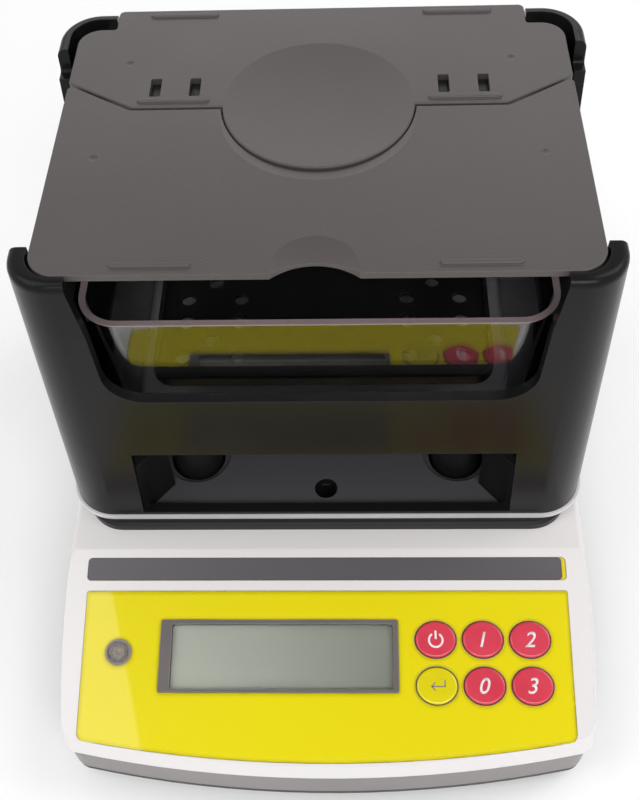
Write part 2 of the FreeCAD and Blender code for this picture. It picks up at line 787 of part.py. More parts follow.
# A pressed key stops on its switch.
STEM_LOW = -6.0
PLUNGER_HIGH = STEM_LOW - S["key_travel"] - S["running_gap"]
SWITCH_HIGH = PLUNGER_HIGH - 0.5
switches = []
for column, x in enumerate(KEY_COLUMNS):
    for line, y in enumerate(KEY_ROWS):
        name = "switch_%d%d" % (column, line)
        switches.append(fuse(
            name,
            box(name + "_body", (x - 3, x + 3), (y - 3, y + 3), (board_top, SWITCH_HIGH), frame=PANEL),
            rod(name + "_plunger", 1.7, (x, y), (SWITCH_HIGH - 0.5, PLUNGER_HIGH), frame=PANEL),
        ))
piece("tact_switches", group("tact_switches", switches))


def board_screw(label, spot, level, frame, turned):
    """Small screw with its head outside the board."""
    head = (level - 1.6, level) if turned else (level, level + 1.6)
    shank = (level - 0.2, level + 5.8) if turned else (level - 5.8, level + 0.2)
    return fuse(
        label,
        rod(label + "_head", 2 * board_screw_hole, spot, head, frame=frame),
        rod(label + "_shank", board_screw_hole, spot, shank, frame=frame),
    )


screws = [
    board_screw("control_screw_%d" % n, spot, board_low, PANEL, True)
    for n, spot in enumerate(BOARD_SPOTS)
]
screws += [
    board_screw("main_screw_%d" % n, spot, main_board_low + S["board_thickness"], HERE, False)
    for n, spot in enumerate(MAIN_BOARD_SPOTS)
]
piece("board_screws", group("board_screws", screws))

vial_inner = S["vial_radius"] - 0.8
piece("vial_cup", cut(
    "vial_cup",
    fuse(
        "vial_cup_solid",
        rod("vial_barrel", S["vial_radius"], VIAL_SPOT, (-7.0, 0.5), frame=PANEL),
        rod("vial_flange", S["vial_radius"] + 1.8, VIAL_SPOT, (-wall - 1.4, -wall), frame=PANEL),
    ),
    rod("vial_bore", vial_inner, VIAL_SPOT, (-6.0, 3), frame=PANEL),
))
bubble = doc.addObject("Part::Sphere", "bubble_room")
bubble.Radius = 1.5
bubble_spot = Vector(VIAL_SPOT[0] + 0.3, VIAL_SPOT[1] + 0.4, -1.7)
bubble.Placement = PANEL.multiply(Placement(bubble_spot, Rotation()))
piece("vial_liquid", cut(
    "vial_liquid", rod("liquid_fill", vial_inner, VIAL_SPOT, (-6.0, -1.0), frame=PANEL), bubble,
))
piece("vial_lens", rod("vial_lens", vial_inner, VIAL_SPOT, (-1.0, 0.3), frame=PANEL))

# Six sprung keys, each with a lip that stops it under the panel.
KEY_NAMES = {
    (0, 0): "key_power", (1, 0): "key_alloy", (2, 0): "key_unit",
    (0, 1): "key_enter", (1, 1): "key_zero", (2, 1): "key_mode",
}
for (column, line), node in KEY_NAMES.items():
    spot = (KEY_COLUMNS[column], KEY_ROWS[line])
    cap = slab(
        node + "_cap", ellipse(spot, S["key_half_width"], S["key_half_length"]),
        (-wall - 0.2, S["key_height"]), frame=PANEL,
    )
    cap_top = PANEL.multVec(Vector(spot[0], spot[1], S["key_height"]))

    def on_cap_top(edge, level=cap_top):
        middle = edge.BoundBox.Center
        return (middle - level).Length < 0.2

    dome = soften(node + "_dome", cap, 0.8, on_cap_top)
    lip = slab(
        node + "_lip",
        ellipse(spot, S["key_half_width"] + S["key_lip"], S["key_half_length"] + S["key_lip"]),
        (-wall - 1.6, -wall), frame=PANEL,
    )
    stem = rod(node + "_stem", 2.0, spot, (STEM_LOW, -wall - 1.2), frame=PANEL)
    piece(node, fuse(node, dome, lip, stem))

# ---------------------------------------------------------------- platform plate

platform_top = S["platform_top"]
platform_sheet = slab(
    "platform_sheet",
    plain_rect(
        -S["platform_half_width"], S["platform_half_width"], S["platform_front"], S["platform_back"], 14,
    ),
    (top, platform_top), Length="Sizes.platform_thickness",
)
platform_edge = bevel("platform_edge", platform_sheet, 0.9, at_level(platform_top))
platform_holes = [rod("centre_hole", 4.3, CENTRE_HOLE, (top - 1, platform_top + 1))]
for n, spot in enumerate(POST_SPOTS):
    platform_holes.append(rod(
        "well_%d" % n, S["well_radius"], spot, (platform_top - 2.5, platform_top + 1),
        Radius="Sizes.well_radius",
    ))
    platform_holes.append(rod(
        "post_hole_%d" % n, S["post_radius"] + S["post_gap"], spot, (top - 1, platform_top),
        Radius="Sizes.post_radius + Sizes.post_gap",
    ))
for n, spot in enumerate(SHELL_SCREW_SPOTS):
    platform_holes.append(rod("platform_screw_hole_%d" % n, screw, spot, (top - 1, platform_top + 1)))
piece("platform_plate", cut("platform_plate", platform_edge, *platform_holes))

# ---------------------------------------------------------------- stand shell

shell_low = platform_top
shell_high = S["shell_top"]
side_out = S["shell_half_width"]
shell_front = S["shell_front"]
shell_back = S["shell_back"]
plate_low = S["plate_low"]


def shell_outline(inset, high):
    width = S["shell_top_half_width"] if high else side_out
    front = S["shell_top_front"] if high else shell_front
    back = S["shell_top_back"] if high else shell_back
    radius = S["shell_corner"] - (2.0 if high else 0.0) - inset
    return plain_rect(-width + inset, width - inset, front + inset, back - inset, radius)


shell_outside = taper(
    "shell_outside", shell_outline(0, False), shell_low, shell_outline(0, True), shell_high,
)
shell_rounded = soften("shell_rounded", shell_outside, S["shell_edge"], at_level(shell_high))
shell_room = taper(
    "shell_room",
    shell_outline(S["shell_wall"], False), shell_low, shell_outline(S["shell_wall"], True), shell_high,
)

# The two front horns are thicker and follow the corner of the top plate.
HORN_GAP = 0.9
PLATE_CORNER = 9.0
rail_low = plate_low - 7.2
plate_side = S["plate_half_width"]
horn_fill = cut(
    "horn_fill",
    overlap("horn_stock", shell_rounded, fuse("horn_boxes", *both("horn_box", box(
        "horn_box", (plate_side - 24, side_out), (shell_front - 2, shell_front + 19),
        (rail_low, shell_high + 1),
    )))),
    slab(
        "horn_room", plain_rect(
            -plate_side - HORN_GAP, plate_side + HORN_GAP,
            S["plate_front"] - HORN_GAP, S["plate_front"] + 60, PLATE_CORNER + HORN_GAP,
        ), (plate_low - 1.0, shell_high + 2),
    ),
)
floor_z = S["cut_floor"]
floor_x = side_out - S["front_cut_side_margin"]
front_reach = (shell_front - 12, shell_front + 17.5)
front_cut = slab("front_cut", rounded([
    (floor_x + 4.2, shell_high + 4, 0), (floor_x + 1.3, shell_high - 23, 30), (floor_x, floor_z, 13),
    (-floor_x, floor_z, 13), (-floor_x - 1.3, shell_high - 23, 30), (-floor_x - 4.2, shell_high + 4, 0),
]), front_reach, lay=LAY_XZ)
side_reach = side_out + 14
side_cut = slab("side_cut", rounded([
    (shell_front + 18.5, shell_high + 4, 0), (shell_front + 23.5, floor_z - 1, 10),
    (shell_back - 29.5, floor_z - 1, 10), (shell_back - 27.5, shell_high - 9, 0),
    (shell_back - 23.0, shell_high - 9, 1.5), (shell_back - 23.0, shell_high + 4, 0),
]), (-side_reach, side_reach), lay=LAY_YZ)
rear_cut = box(
    "rear_cut", (-S["tab_half_width"] - 0.7, S["tab_half_width"] + 0.7),
    (shell_back - 13.5, shell_back + 6.5), (plate_low - 2.7, shell_high + 4),
)
window_top = shell_low + 41.7
window_foot = shell_low + 3.4
front_window = slab("front_window", rounded([
    (side_out - 29.0, window_top, 0.8), (side_out - 27.5, window_foot, 0.8),
    (27.5 - side_out, window_foot, 0.8), (29.0 - side_out, window_top, 0.8),
]), front_reach, lay=LAY_XZ)
shell_ring = cut("shell_ring", shell_rounded, shell_room)
shell_walls = cut(
    "shell_walls", fuse("shell_horned", shell_ring, horn_fill), front_cut, side_cut, rear_cut, front_window,
)

# Webs that carry the tank: a slanted one at each front corner and a cross one on each side.
tank_low = S["tank_bottom"]
web_top = tank_low - 1.5
WEB_HALF = 1.5
web_wall_end = Vector(side_out - S["tank_side_margin"] + 0.3, shell_front + 2.5, 0)
web_tank_end = Vector(S["tank_half_width"] - 10.5, S["tank_front"] + 5.2, 0)
web_way = (web_tank_end - web_wall_end).normalize()
web_side = Vector(-web_way.y, web_way.x, 0) * WEB_HALF


def web_outline(start):
    """Outline of a front web from a point on its middle line to its end under the tank."""
    ends = (start + web_side, start - web_side, web_tank_end - web_side, web_tank_end + web_side)
    return rounded([(end.x, end.y, 0) for end in ends])


back_web_x = side_out - S["tank_side_margin"] - 6.0
back_web_y = (shell_back - 43.5, shell_back - 37.5)
web_parts = both("corner_web", slab("corner_web", web_outline(web_wall_end), (shell_low, web_top)))
rear_webs = both("rear_web", box(
    "rear_web", (back_web_x, side_out - 2.4), back_web_y, (shell_low, web_top),
))
side_feet = both("side_foot", box(
    "side_foot", (side_out - 17.0, side_out - 2.4), (shell_front + 24.5, shell_back - 11.5),
    (shell_low, shell_low + 2.5),
))
boss_top = shell_low + 11.0
screw_bosses = []
for name, spot in (("front_screw_boss", SHELL_SCREW_SPOTS[0]), ("rear_screw_boss", SHELL_SCREW_SPOTS[2])):
    screw_bosses += both(name, rod(name, boss + 0.6, spot, (shell_low, boss_top)))
rail_x = (plate_side - 6.7, plate_side - 0.7)
rail_top = plate_low - 2.7
rails = both("cover_rail", box(
    "cover_rail", rail_x, (S["shell_top_front"] + 2.4, S["shell_top_back"] - 2.5), (rail_low, rail_top),
))
front_pad_y = (S["plate_front"] + 11.5, S["plate_front"] + 21.5)
back_pad_y = (S["seam_y"] - 14.1, S["seam_y"] - 4.1)
rail_pads = both("front_rail_pad", box("front_rail_pad", rail_x, front_pad_y, (rail_top - 1, plate_low)))
rail_pads += both("rear_rail_pad", box("rear_rail_pad", rail_x, back_pad_y, (rail_top - 1, plate_low)))


def trim_outline(grow):
    width = side_out + grow
    return plain_rect(-width, width, shell_front - grow, shell_back + grow, S["shell_corner"] + grow)


trim_seat = cut(
    "trim_seat",
    slab("trim_seat_outer", trim_outline(2.0), (shell_low - 1, shell_low + 2)),
    slab("trim_seat_inner", trim_outline(-1.2), (shell_low - 2, shell_low + 3)),
)
shell_pilots = [
    rod("shell_pilot_%d" % n, screw, spot, (shell_low - 1, boss_top - 2))
    for n, spot in enumerate(SHELL_SCREW_SPOTS)
]
piece("wind_shell", cut(
    "wind_shell",
    fuse("shell_solid", shell_walls, *web_parts, *rear_webs, *side_feet, *screw_bosses, *rails, *rail_pads),
    trim_seat, *shell_pilots,
))
piece("shell_trim", cut(
    "shell_trim",
    slab("trim_outer", trim_outline(0.8), (shell_low, shell_low + 2)),
    slab("trim_inner", trim_outline(-1.2), (shell_low - 1, shell_low + 3)),
))

# ---------------------------------------------------------------- water tank

tank_high = S["tank_rim"]
tank_wall = S["tank_wall"]


def tank_outline(level, inset):
    """Tank in plan at a height. The walls lean outward towards the rim."""
    share = (level - tank_low) / (tank_high - tank_low)
    side = S["tank_half_width"] + S["tank_side_lean"] * share - inset
    front = S["tank_front"] - S["tank_front_lean"] * share + inset
    back = S["tank_back"] + S["tank_back_lean"] * share - inset
    return plain_rect(-side, side, front, back, S["tank_corner"] - inset)


tank_block = taper(
    "tank_block", tank_outline(tank_low, 0), tank_low, tank_outline(tank_high, 0), tank_high,
)
tank_space = taper(
    "tank_space",
    tank_outline(tank_low + tank_wall, tank_wall), tank_low + tank_wall,
    tank_outline(tank_high + 1, tank_wall), tank_high + 1,
)
piece("water_tank", cut(
    "water_tank",
    soften("tank_outside", tank_block, 3.0, at_level(tank_low)),
    soften("tank_inside", tank_space, 2.0, at_level(tank_low + tank_wall)),
))
STRIP_RUN = 5.4
tank_strips = both("front_tank_strip", slab(
    "front_tank_strip", web_outline(web_tank_end - web_way * STRIP_RUN), (web_top, tank_low),
))
tank_strips += both("rear_tank_strip", box(
    "rear_tank_strip", (back_web_x, back_web_x + STRIP_RUN), back_web_y, (web_top, tank_low),
))
piece("tank_strips", group("tank_strips", tank_strips))

# ---------------------------------------------------------------- load cell and frame

cell_low = S["cell_bottom"]
cell_high = S["cell_top"]
cell_front = S["cell_front"]
cell_back = S["cell_back"]
cell_side = S["cell_section"] / 2
cell_mid = (cell_low + cell_high) / 2
cell_mid_y = (cell_front + cell_back) / 2
cell_bar = box(
    "cell_bar", (-cell_side, cell_side), (cell_front, cell_back), (cell_low, cell_high),
    Length="Sizes.cell_section", Width="Sizes.cell_length", Height="Sizes.cell_section",
)
cell_holes = [
    bar_x("cell_bore_front", 4.9, (-cell_side - 4, cell_side + 4), cell_mid_y - 8, cell_mid),
    bar_x("cell_bore_rear", 4.9, (-cell_side - 4, cell_side + 4), cell_mid_y + 8, cell_mid),
    box(
        "cell_gap", (-cell_side - 4, cell_side + 4), (cell_mid_y - 8, cell_mid_y + 8),
        (cell_mid - 2.2, cell_mid + 2.2),
    ),
]
for n, y in enumerate(CELL_FRONT_SCREWS):
    cell_holes.append(rod("cell_front_thread_%d" % n, cell_screw, (0, y), (cell_high - 8, cell_high + 1)))
for n, y in enumerate(CELL_BACK_SCREWS):
    cell_holes.append(rod("cell_rear_thread_%d" % n, cell_screw, (0, y), (cell_low - 1, cell_low + 8)))
piece("load_cell", cut("load_cell", cell_bar, *cell_holes))
piece("cell_spacer", cut(
    "cell_spacer",
    box("cell_spacer_block", (-10, 10), (cell_back - 20.5, cell_back + 1.5), (pan_top, cell_low)),
    *[rod("spacer_hole_%d" % n, cell_screw, (0, y), (pan_top - 1, cell_low + 1))
      for n, y in enumerate(CELL_BACK_SCREWS)],
))
piece("cell_screws", group("cell_screws", [
    fuse(
        "cell_screw_%d" % n,
        rod("cell_screw_head_%d" % n, cell_screw_head, (0, y), (pan_bottom + 0.3, screw_head_room + 0.1)),
        rod("cell_screw_shank_%d" % n, cell_screw, (0, y), (screw_head_room - 0.5, cell_low + 7)),
    ) for n, y in enumerate(CELL_BACK_SCREWS)
]))
NUT_RADIUS = 2 * cell_screw
piece("overload_stop", fuse(
    "overload_stop",
    rod("stop_screw", cell_screw, (0, STOP_Y), (pan_bottom + 1, cell_low - 0.5)),
    slab("stop_nut", rounded([
        (NUT_RADIUS * math.cos(math.radians(60 * k)), STOP_Y + NUT_RADIUS * math.sin(math.radians(60 * k)), 0)
        for k in range(6)
    ]), (pan_top, pan_top + 3)),
))

spider_low = S["spider_bottom"]
spider_high = spider_low + S["spider_thickness"]
frame_side = S["carrier_half_width"]
frame_front = S["post_front"] - 10.0
frame_back = S["post_back"] + 13.0
spider_room = (spider_low - 5, spider_high + 5)
piece("spider_spacer", cut(
    "spider_spacer",
    box("spider_spacer_block", (-9, 9), (cell_front - 0.5, cell_front + 20.5), (cell_high, spider_low)),
    *[rod("spider_spacer_hole_%d" % n, cell_screw, (0, y), (cell_high - 1, spider_low + 1))
      for n, y in enumerate(CELL_FRONT_SCREWS)],
))
spider_sheet = fuse(
    "spider_sheet",
    slab(
        "spider_front", plain_rect(-frame_side, frame_side, frame_front, S["post_front"] + 10, 8),
        (spider_low, spider_high),
    ),
    slab(
        "spider_back", plain_rect(-frame_side, frame_side, S["post_back"] - 10, S["post_back"] + 10, 8),
        (spider_low, spider_high),
    ),
    box(
        "spider_spine", (-13, 13), (S["post_front"] + 4, S["post_back"] - 4), (spider_low, spider_high),
        Height="Sizes.spider_thickness",
    ),
)
spider_holes = [
    rod("spider_screw_hole_%d" % n, cell_screw, (0, y), spider_room)
    for n, y in enumerate(CELL_FRONT_SCREWS)
]
spider_holes.append(slab(
    "spider_slot", plain_rect(-6, 6, S["post_front"] + 30, S["post_back"] - 17, 4), spider_room,
))
piece("load_spider", cut("load_spider", spider_sheet, *spider_holes))
piece("spider_screws", group("spider_screws", [
    fuse(
        "spider_screw_%d" % n,
        rod("spider_screw_head_%d" % n, cell_screw_head, (0, y), (spider_high, spider_high + 2.6)),
        rod("spider_screw_shank_%d" % n, cell_screw, (0, y), (cell_high - 7, spider_high + 0.5)),
    ) for n, y in enumerate(CELL_FRONT_SCREWS)
]))

carrier_low = S["carrier_bottom"]
carrier_high = S["carrier_top"]
cap_low = carrier_low - 3.0
piece("weigh_posts", group("weigh_posts", [
    rod("weigh_post_%d" % n, S["post_radius"], spot, (spider_high, cap_low), Radius="Sizes.post_radius")
    for n, spot in enumerate(POST_SPOTS)
]))
piece("post_caps", group("post_caps", [
    rod("post_cap_%d" % n, S["post_radius"], spot, (cap_low, carrier_low), Radius="Sizes.post_radius")
    for n, spot in enumerate(POST_SPOTS)
]))

peg = S["peg_radius"]
PEG_SPOTS = [(side * (frame_side - 7.0), frame_back - 6.0) for side in (1, -1)]
carrier_sheet = cut(
    "carrier_sheet",
    slab(
        "carrier_outer", plain_rect(-frame_side, frame_side, frame_front, frame_back, 8),
        (carrier_low, carrier_high), Length="Sizes.carrier_thickness",
    ),
    slab(
        "carrier_opening",
        plain_rect(23 - frame_side, frame_side - 23, frame_front + 22, frame_back - 24, 6),
        (carrier_low - 6, carrier_high + 6),
    ),
)
uprights = both("upright", slab(
    "upright", plain_rect(frame_side - 14.0, frame_side, frame_back - 12.0, frame_back, 2.0),
    (carrier_low, plate_low),
))
peg_foot = plate_low - 13.7
piece("carrier_frame", cut(
    "carrier_frame",
    fuse("carrier_solid", carrier_sheet, *uprights),
    *[rod("socket_%d" % n, peg + S["running_gap"], spot, (peg_foot - 2.0, plate_low + 6),
          Radius="Sizes.peg_radius + Sizes.running_gap")
      for n, spot in enumerate(PEG_SPOTS)],
))

# ---------------------------------------------------------------- weighing plate and tray

plate_high = S["plate_top"]
half_gap = S["seam_gap"] / 2
dish = (0, S["dish_y"])
seam_x = S["seam_x"]
seam_y = S["seam_y"]
seam_side_y = S["seam_side_y"]
rear_side = plate_side - 0.4
tab = S["tab_half_width"]
plate_back = S["plate_back"]
rear_shape = rounded([
    (0.3 - seam_x, seam_y + half_gap, 3), (seam_x - 0.3, seam_y + half_gap, 3),
    (rear_side, seam_side_y + half_gap, 1.5), (rear_side, plate_back, 8),
    (tab, plate_back, 1.0), (tab, S["tab_back"], 2), (-tab, S["tab_back"], 2), (-tab, plate_back, 1.0),
    (-rear_side, plate_back, 8), (-rear_side, seam_side_y + half_gap, 1.5),
])
rear_sheet = fuse(
    "rear_sheet",
    slab("rear_plate", rear_shape, (plate_low, plate_high), Length="Sizes.plate_thickness"),
    rod("dish_disc", S["dish_radius"], dish, (plate_low, plate_high), Radius="Sizes.dish_radius"),
)
rear_rounded = soften("rear_rounded", rear_sheet, 0.5, at_level(plate_high))


def rib(label, side, y):
    """Low rounded rib across the plate on one side."""
    x0, x1 = sorted((side * (seam_x - 25.9), side * (seam_x - 1.9)))
    bar = slab(label, plain_rect(x0, x1, y - 1.0, y + 1.0, 0.99), (plate_high - 0.5, plate_high + 0.8))
    return soften(label + "_soft", bar, 0.5, at_level(plate_high + 0.8))


def scoop(label, centre, radius, depth):
    """Ball that leaves a shallow round hollow in the plate."""
    ball_radius = (radius ** 2 + depth ** 2) / (2 * depth)
    ball = doc.addObject("Part::Sphere", label)
    ball.Radius = ball_radius
    ball.Placement = Placement(Vector(centre[0], centre[1], plate_high + ball_radius - depth), Rotation())
    return ball


rear_ribs = [rib("rear_rib_%d%d" % (a, b), side, y)
             for a, side in enumerate((1, -1)) for b, y in enumerate((seam_y + 3.65, S["tab_back"] - 3.6))]
pegs = [rod("peg_%d" % n, peg, spot, (peg_foot, plate_low + 0.5), Radius="Sizes.peg_radius")
        for n, spot in enumerate(PEG_SPOTS)]
rear_cuts = [scoop("dish_hollow", dish, S["dish_radius"] - 0.6, S["dish_depth"])]
SLOT_LAST = S["tank_half_width"] - S["slot_side_margin"]
SLOT_COLUMNS = (SLOT_LAST - S["slot_pitch"], SLOT_LAST)
SLOT_Y = S["slot_y"]
for n, x in enumerate(SLOT_COLUMNS):
    for side in (1, -1):
        rear_cuts.append(slab(
            "slot_%d_%s" % (n, "right" if side > 0 else "left"),
            plain_rect(side * x - S["slot_width"] / 2, side * x + S["slot_width"] / 2,
                       SLOT_Y - S["slot_length"] / 2, SLOT_Y + S["slot_length"] / 2, 0.6),
            (plate_low - 1, plate_high + 1),
        ))
for n, spot in enumerate([(seam_x + 2.6, seam_side_y + 10.2), (-seam_x - 2.6, seam_side_y + 10.2)]):
    rear_cuts.append(scoop("rear_dimple_%d" % n, spot, 1.5, 0.35))
piece("weighing_plate", cut(
    "weighing_plate", fuse("rear_solid", rear_rounded, *rear_ribs, *pegs), *rear_cuts,
))

arm_x = S["arm_thickness"] / 2
arm_y = S["arm_depth"] / 2
tray_top = S["tray_level"]
arms = []
for n, x in enumerate(SLOT_COLUMNS):
    for side in (1, -1):
        name = "arm_%d_%s" % (n, "right" if side > 0 else "left")
        arms.append(box(
            name, (side * x - arm_x, side * x + arm_x), (SLOT_Y - arm_y, SLOT_Y + arm_y),
            (tray_top, plate_high - 2.2),
        ))
        arms.append(slab(
            name + "_foot", plain_rect(side * x - 2.8, side * x + 2.8, SLOT_Y - 6.5, SLOT_Y + 4.5, 1.5),
            (tray_top, tray_top + 1.5),
        ))
arms.append(box(
    "hanger_bridge", (-SLOT_LAST - 3.5, SLOT_LAST + 3.5), (SLOT_Y - 3, SLOT_Y + 3),
    (plate_low - 5.2, plate_low),
))
piece("tray_hanger", fuse("tray_hanger", *arms))

tray_low = tray_top - S["tray_thickness"]
tray_side = S["tray_half_width"]
tray_front = S["tray_front"]
tray_back = S["tray_back"]
tray_sheet = slab(
    "tray_sheet", plain_rect(-tray_side, tray_side, tray_front, tray_back, 8), (tray_low, tray_top + 2.2),
)
tray_holes = [slab(
    "tray_hollow",
    plain_rect(1.6 - tray_side, tray_side - 1.6, tray_front + 1.6, tray_back - 1.6, 6.4),
    (tray_top, tray_top + 5),
)]
HOLE_X = tray_side - 29.5
HOLE_Y = tray_front + 11.4
for side in (1, -1):
    for shift in (0.0, 26.0):
        for across, along in ((0, 0), (19.5, 0), (9.75, 8.0), (0, 16.1), (19.5, 16.1)):
            spot = (side * (HOLE_X + across), HOLE_Y + along + shift)
            tray_holes.append(rod(
                "tray_hole_%d" % len(tray_holes), 2.75, spot, (tray_low - 1, tray_top + 1),
            ))
piece("water_tray", cut("water_tray", tray_sheet, *tray_holes))

# ---------------------------------------------------------------- front cover

plate_front = S["plate_front"]
cover_shape = rounded([
    (-plate_side, plate_front, PLATE_CORNER), (plate_side, plate_front, PLATE_CORNER),
    (plate_side - 0.4, seam_side_y - half_gap, 1.5), (seam_x + 0.3, seam_y - half_gap, 3),
    (-seam_x - 0.3, seam_y - half_gap, 3), (0.4 - plate_side, seam_side_y - half_gap, 1.5),
])
cover_sheet = cut(
    "cover_sheet",
    slab("cover_plate", cover_shape, (plate_low, plate_high), Length="Sizes.plate_thickness"),
    rod("disc_room", S["dish_radius"] + S["dish_seam"], dish, (plate_low - 1, plate_high + 1)),
    rod("finger_notch", 19.9, (0, plate_front - 14.9), (plate_low - 1, plate_high + 1)),
)
cover_rounded = soften("cover_rounded", cover_sheet, 0.3, at_level(plate_high))

# Cone that slopes the crescent in front of the disc down to the seam.
crescent_slope = (S["crescent_radius"] - S["dish_radius"] + 5.2) / S["crescent_depth"]
crescent = doc.addObject("Part::Cone", "crescent")
crescent.Radius1 = S["crescent_radius"] - crescent_slope * S["crescent_depth"]
crescent.Radius2 = S["crescent_radius"] + crescent_slope * 0.5
crescent.Height = S["crescent_depth"] + 0.5
crescent.Placement = Placement(Vector(0, S["dish_y"] - 5, plate_high - S["crescent_depth"]), Rotation())
cover_cuts = [crescent, scoop("finger_scoop", (0, plate_front + 1.5), 13.3, 1.5)]
for n, spot in enumerate([(plate_side - 13.9, seam_y - 23.6), (13.9 - plate_side, seam_y - 23.6)]):
    cover_cuts.append(scoop("front_dimple_%d" % n, spot, 1.5, 0.35))
piece("front_cover", cut(
    "front_cover",
    fuse(
        "cover_solid", cover_rounded,
        rib("front_rib_right", 1, plate_front + 3.6), rib("front_rib_left", -1, plate_front + 3.6),
    ),
    *cover_cuts,
))

# ---------------------------------------------------------------- electronics in the base

board_face = main_board_low + S["board_thickness"]
piece("main_board", cut(
    "main_board",
    slab(
        "main_sheet", plain_rect(MAIN_BOARD_LEFT, MAIN_BOARD_RIGHT, MAIN_BOARD_FRONT, MAIN_BOARD_BACK, 1.5),
        (main_board_low, board_face), Length="Sizes.board_thickness",
    ),
    *[rod("main_hole_%d" % n, board_screw_hole, spot, (pan_top, board_face + 5))
      for n, spot in enumerate(MAIN_BOARD_SPOTS)],
))


def board_x(share):
    return MAIN_BOARD_LEFT + share * S["main_board_width"]


def board_y(share):
    return MAIN_BOARD_FRONT + share * S["main_board_length"]


def on_board(label, x, y, height):
    """Block on the main board, placed by shares of the board's width and length."""
    return box(
        label, (board_x(x[0]), board_x(x[1])), (board_y(y[0]), board_y(y[1])),
        (board_face, board_face + height),
    )


def can(label, x, y):
    """Round capacitor on the main board."""
    return rod(label, 4.0, (board_x(x), board_y(y)), (board_face, board_face + 10.4))


piece("board_parts", group("board_parts", [
    on_board("processor", (0.36, 0.61), (0.34, 0.59), 1.6),
    on_board("converter", (0.71, 0.86), (0.28, 0.45), 1.8),
    can("capacitor_one", 0.21, 0.79),
    can("capacitor_two", 0.43, 0.79),
    on_board("regulator", (0.14, 0.32), (0.14, 0.28), 4.4),
    on_board("connector", (0.64, 0.89), (0.72, 0.84), 7.9),
]))
piece("power_inlet", cut(
    "power_inlet",
    fuse(
        "inlet_solid",
        box(
            "inlet_body", (INLET_X - 7, INLET_X + 7), (SOCKET_BACK - 14.0, SOCKET_BACK - 0.8),
            (INLET_LEVEL - 5.5, INLET_LEVEL + 5.5),
        ),
        box(
            "inlet_shoulder", (INLET_X - 8.5, INLET_X + 8.5), (SOCKET_BACK - 7.0, SOCKET_BACK - 5.0),
            (INLET_LEVEL - 6.5, INLET_LEVEL + 6.5),
        ),
    ),
    cut(
        "inlet_bore",
        bar_y("inlet_hole_round", 2.9, INLET_X, (SOCKET_BACK - 10.5, SOCKET_BACK + 1), INLET_LEVEL),
        bar_y("inlet_pin", 1.0, INLET_X, (SOCKET_BACK - 11, SOCKET_BACK - 2), INLET_LEVEL),
    ),
))
port_shell = cut(
    "port_shell",
    slab(
        "port_outer", plain_rect(PORT_X - 8.4, PORT_X + 8.4, PORT_LEVEL - 4.1, PORT_LEVEL + 4.1, 2.4),
        (SOCKET_BACK - 6, SOCKET_BACK - 0.2), lay=LAY_XZ,
    ),
    slab(
        "port_inner", plain_rect(PORT_X - 7.6, PORT_X + 7.6, PORT_LEVEL - 3.3, PORT_LEVEL + 3.3, 1.8),
        (SOCKET_BACK - 2.4, SOCKET_BACK + 4), lay=LAY_XZ,
    ),
)
port_flange = box(
    "port_flange", (PORT_X - 15.4, PORT_X + 15.4), (SOCKET_BACK - 6.2, SOCKET_BACK - 5.0),
    (PORT_LEVEL - 6.2, PORT_LEVEL + 6.2),
)
port_body = box(
    "port_body", (PORT_X - 9.5, PORT_X + 9.5), (SOCKET_BACK - 16.0, SOCKET_BACK - 6.0),
    (PORT_LEVEL - 4.7, PORT_LEVEL + 4.8),
)
pin_holes = []
for count, start, shift in ((5, -5.5, 1.4), (4, -4.1, -1.4)):
    for n in range(count):
        pin_holes.append(bar_y(
            "pin_hole_%d_%d" % (count, n), 0.6, PORT_X + start + 2.75 * n,
            (SOCKET_BACK - 8, SOCKET_BACK - 2), PORT_LEVEL + shift,
        ))
piece("data_port", cut("data_port", fuse("port_solid", port_shell, port_flange, port_body), *pin_holes))

# ---------------------------------------------------------------- screws and feet

piece("housing_screws", group("housing_screws", [
    fuse(
        "housing_screw_%d" % n,
        rod("housing_screw_head_%d" % n, screw_head, spot, (pan_bottom + 0.2, screw_head_room)),
        rod("housing_screw_shank_%d" % n, screw, spot, (screw_head_room - 0.5, pan_top + 12)),
    ) for n, spot in enumerate(HOUSING_SCREW_SPOTS)
]))
piece("shell_screws", group("shell_screws", [
    fuse(
        "shell_screw_%d" % n,
        rod("shell_screw_head_%d" % n, screw_head, spot, (top - wall - 2.2, top - wall)),
        rod("shell_screw_shank_%d" % n, screw, spot, (top - wall - 0.5, boss_top - 3)),
    ) for n, spot in enumerate(SHELL_SCREW_SPOTS)
]))
stud = S["foot_screw_radius"]
stud_room = stud + S["running_gap"]
wheel = S["foot_wheel_radius"]
piece("foot_bushes", group("foot_bushes", [
    cut(
        "foot_bush_%d" % n,
        rod("bush_body_%d" % n, S["bush_radius"], spot, (pan_bottom, pan_boss_top),
            Radius="Sizes.bush_radius"),
        rod("bush_bore_%d" % n, stud_room, spot, (0, pan_boss_top + 5),
            Radius="Sizes.foot_screw_radius + Sizes.running_gap"),
    ) for n, spot in enumerate(FOOT_SPOTS)
]))
FOOT_NAMES = ("front_right", "front_left", "rear_right", "rear_left")
pad_high = S["foot_pad_height"]
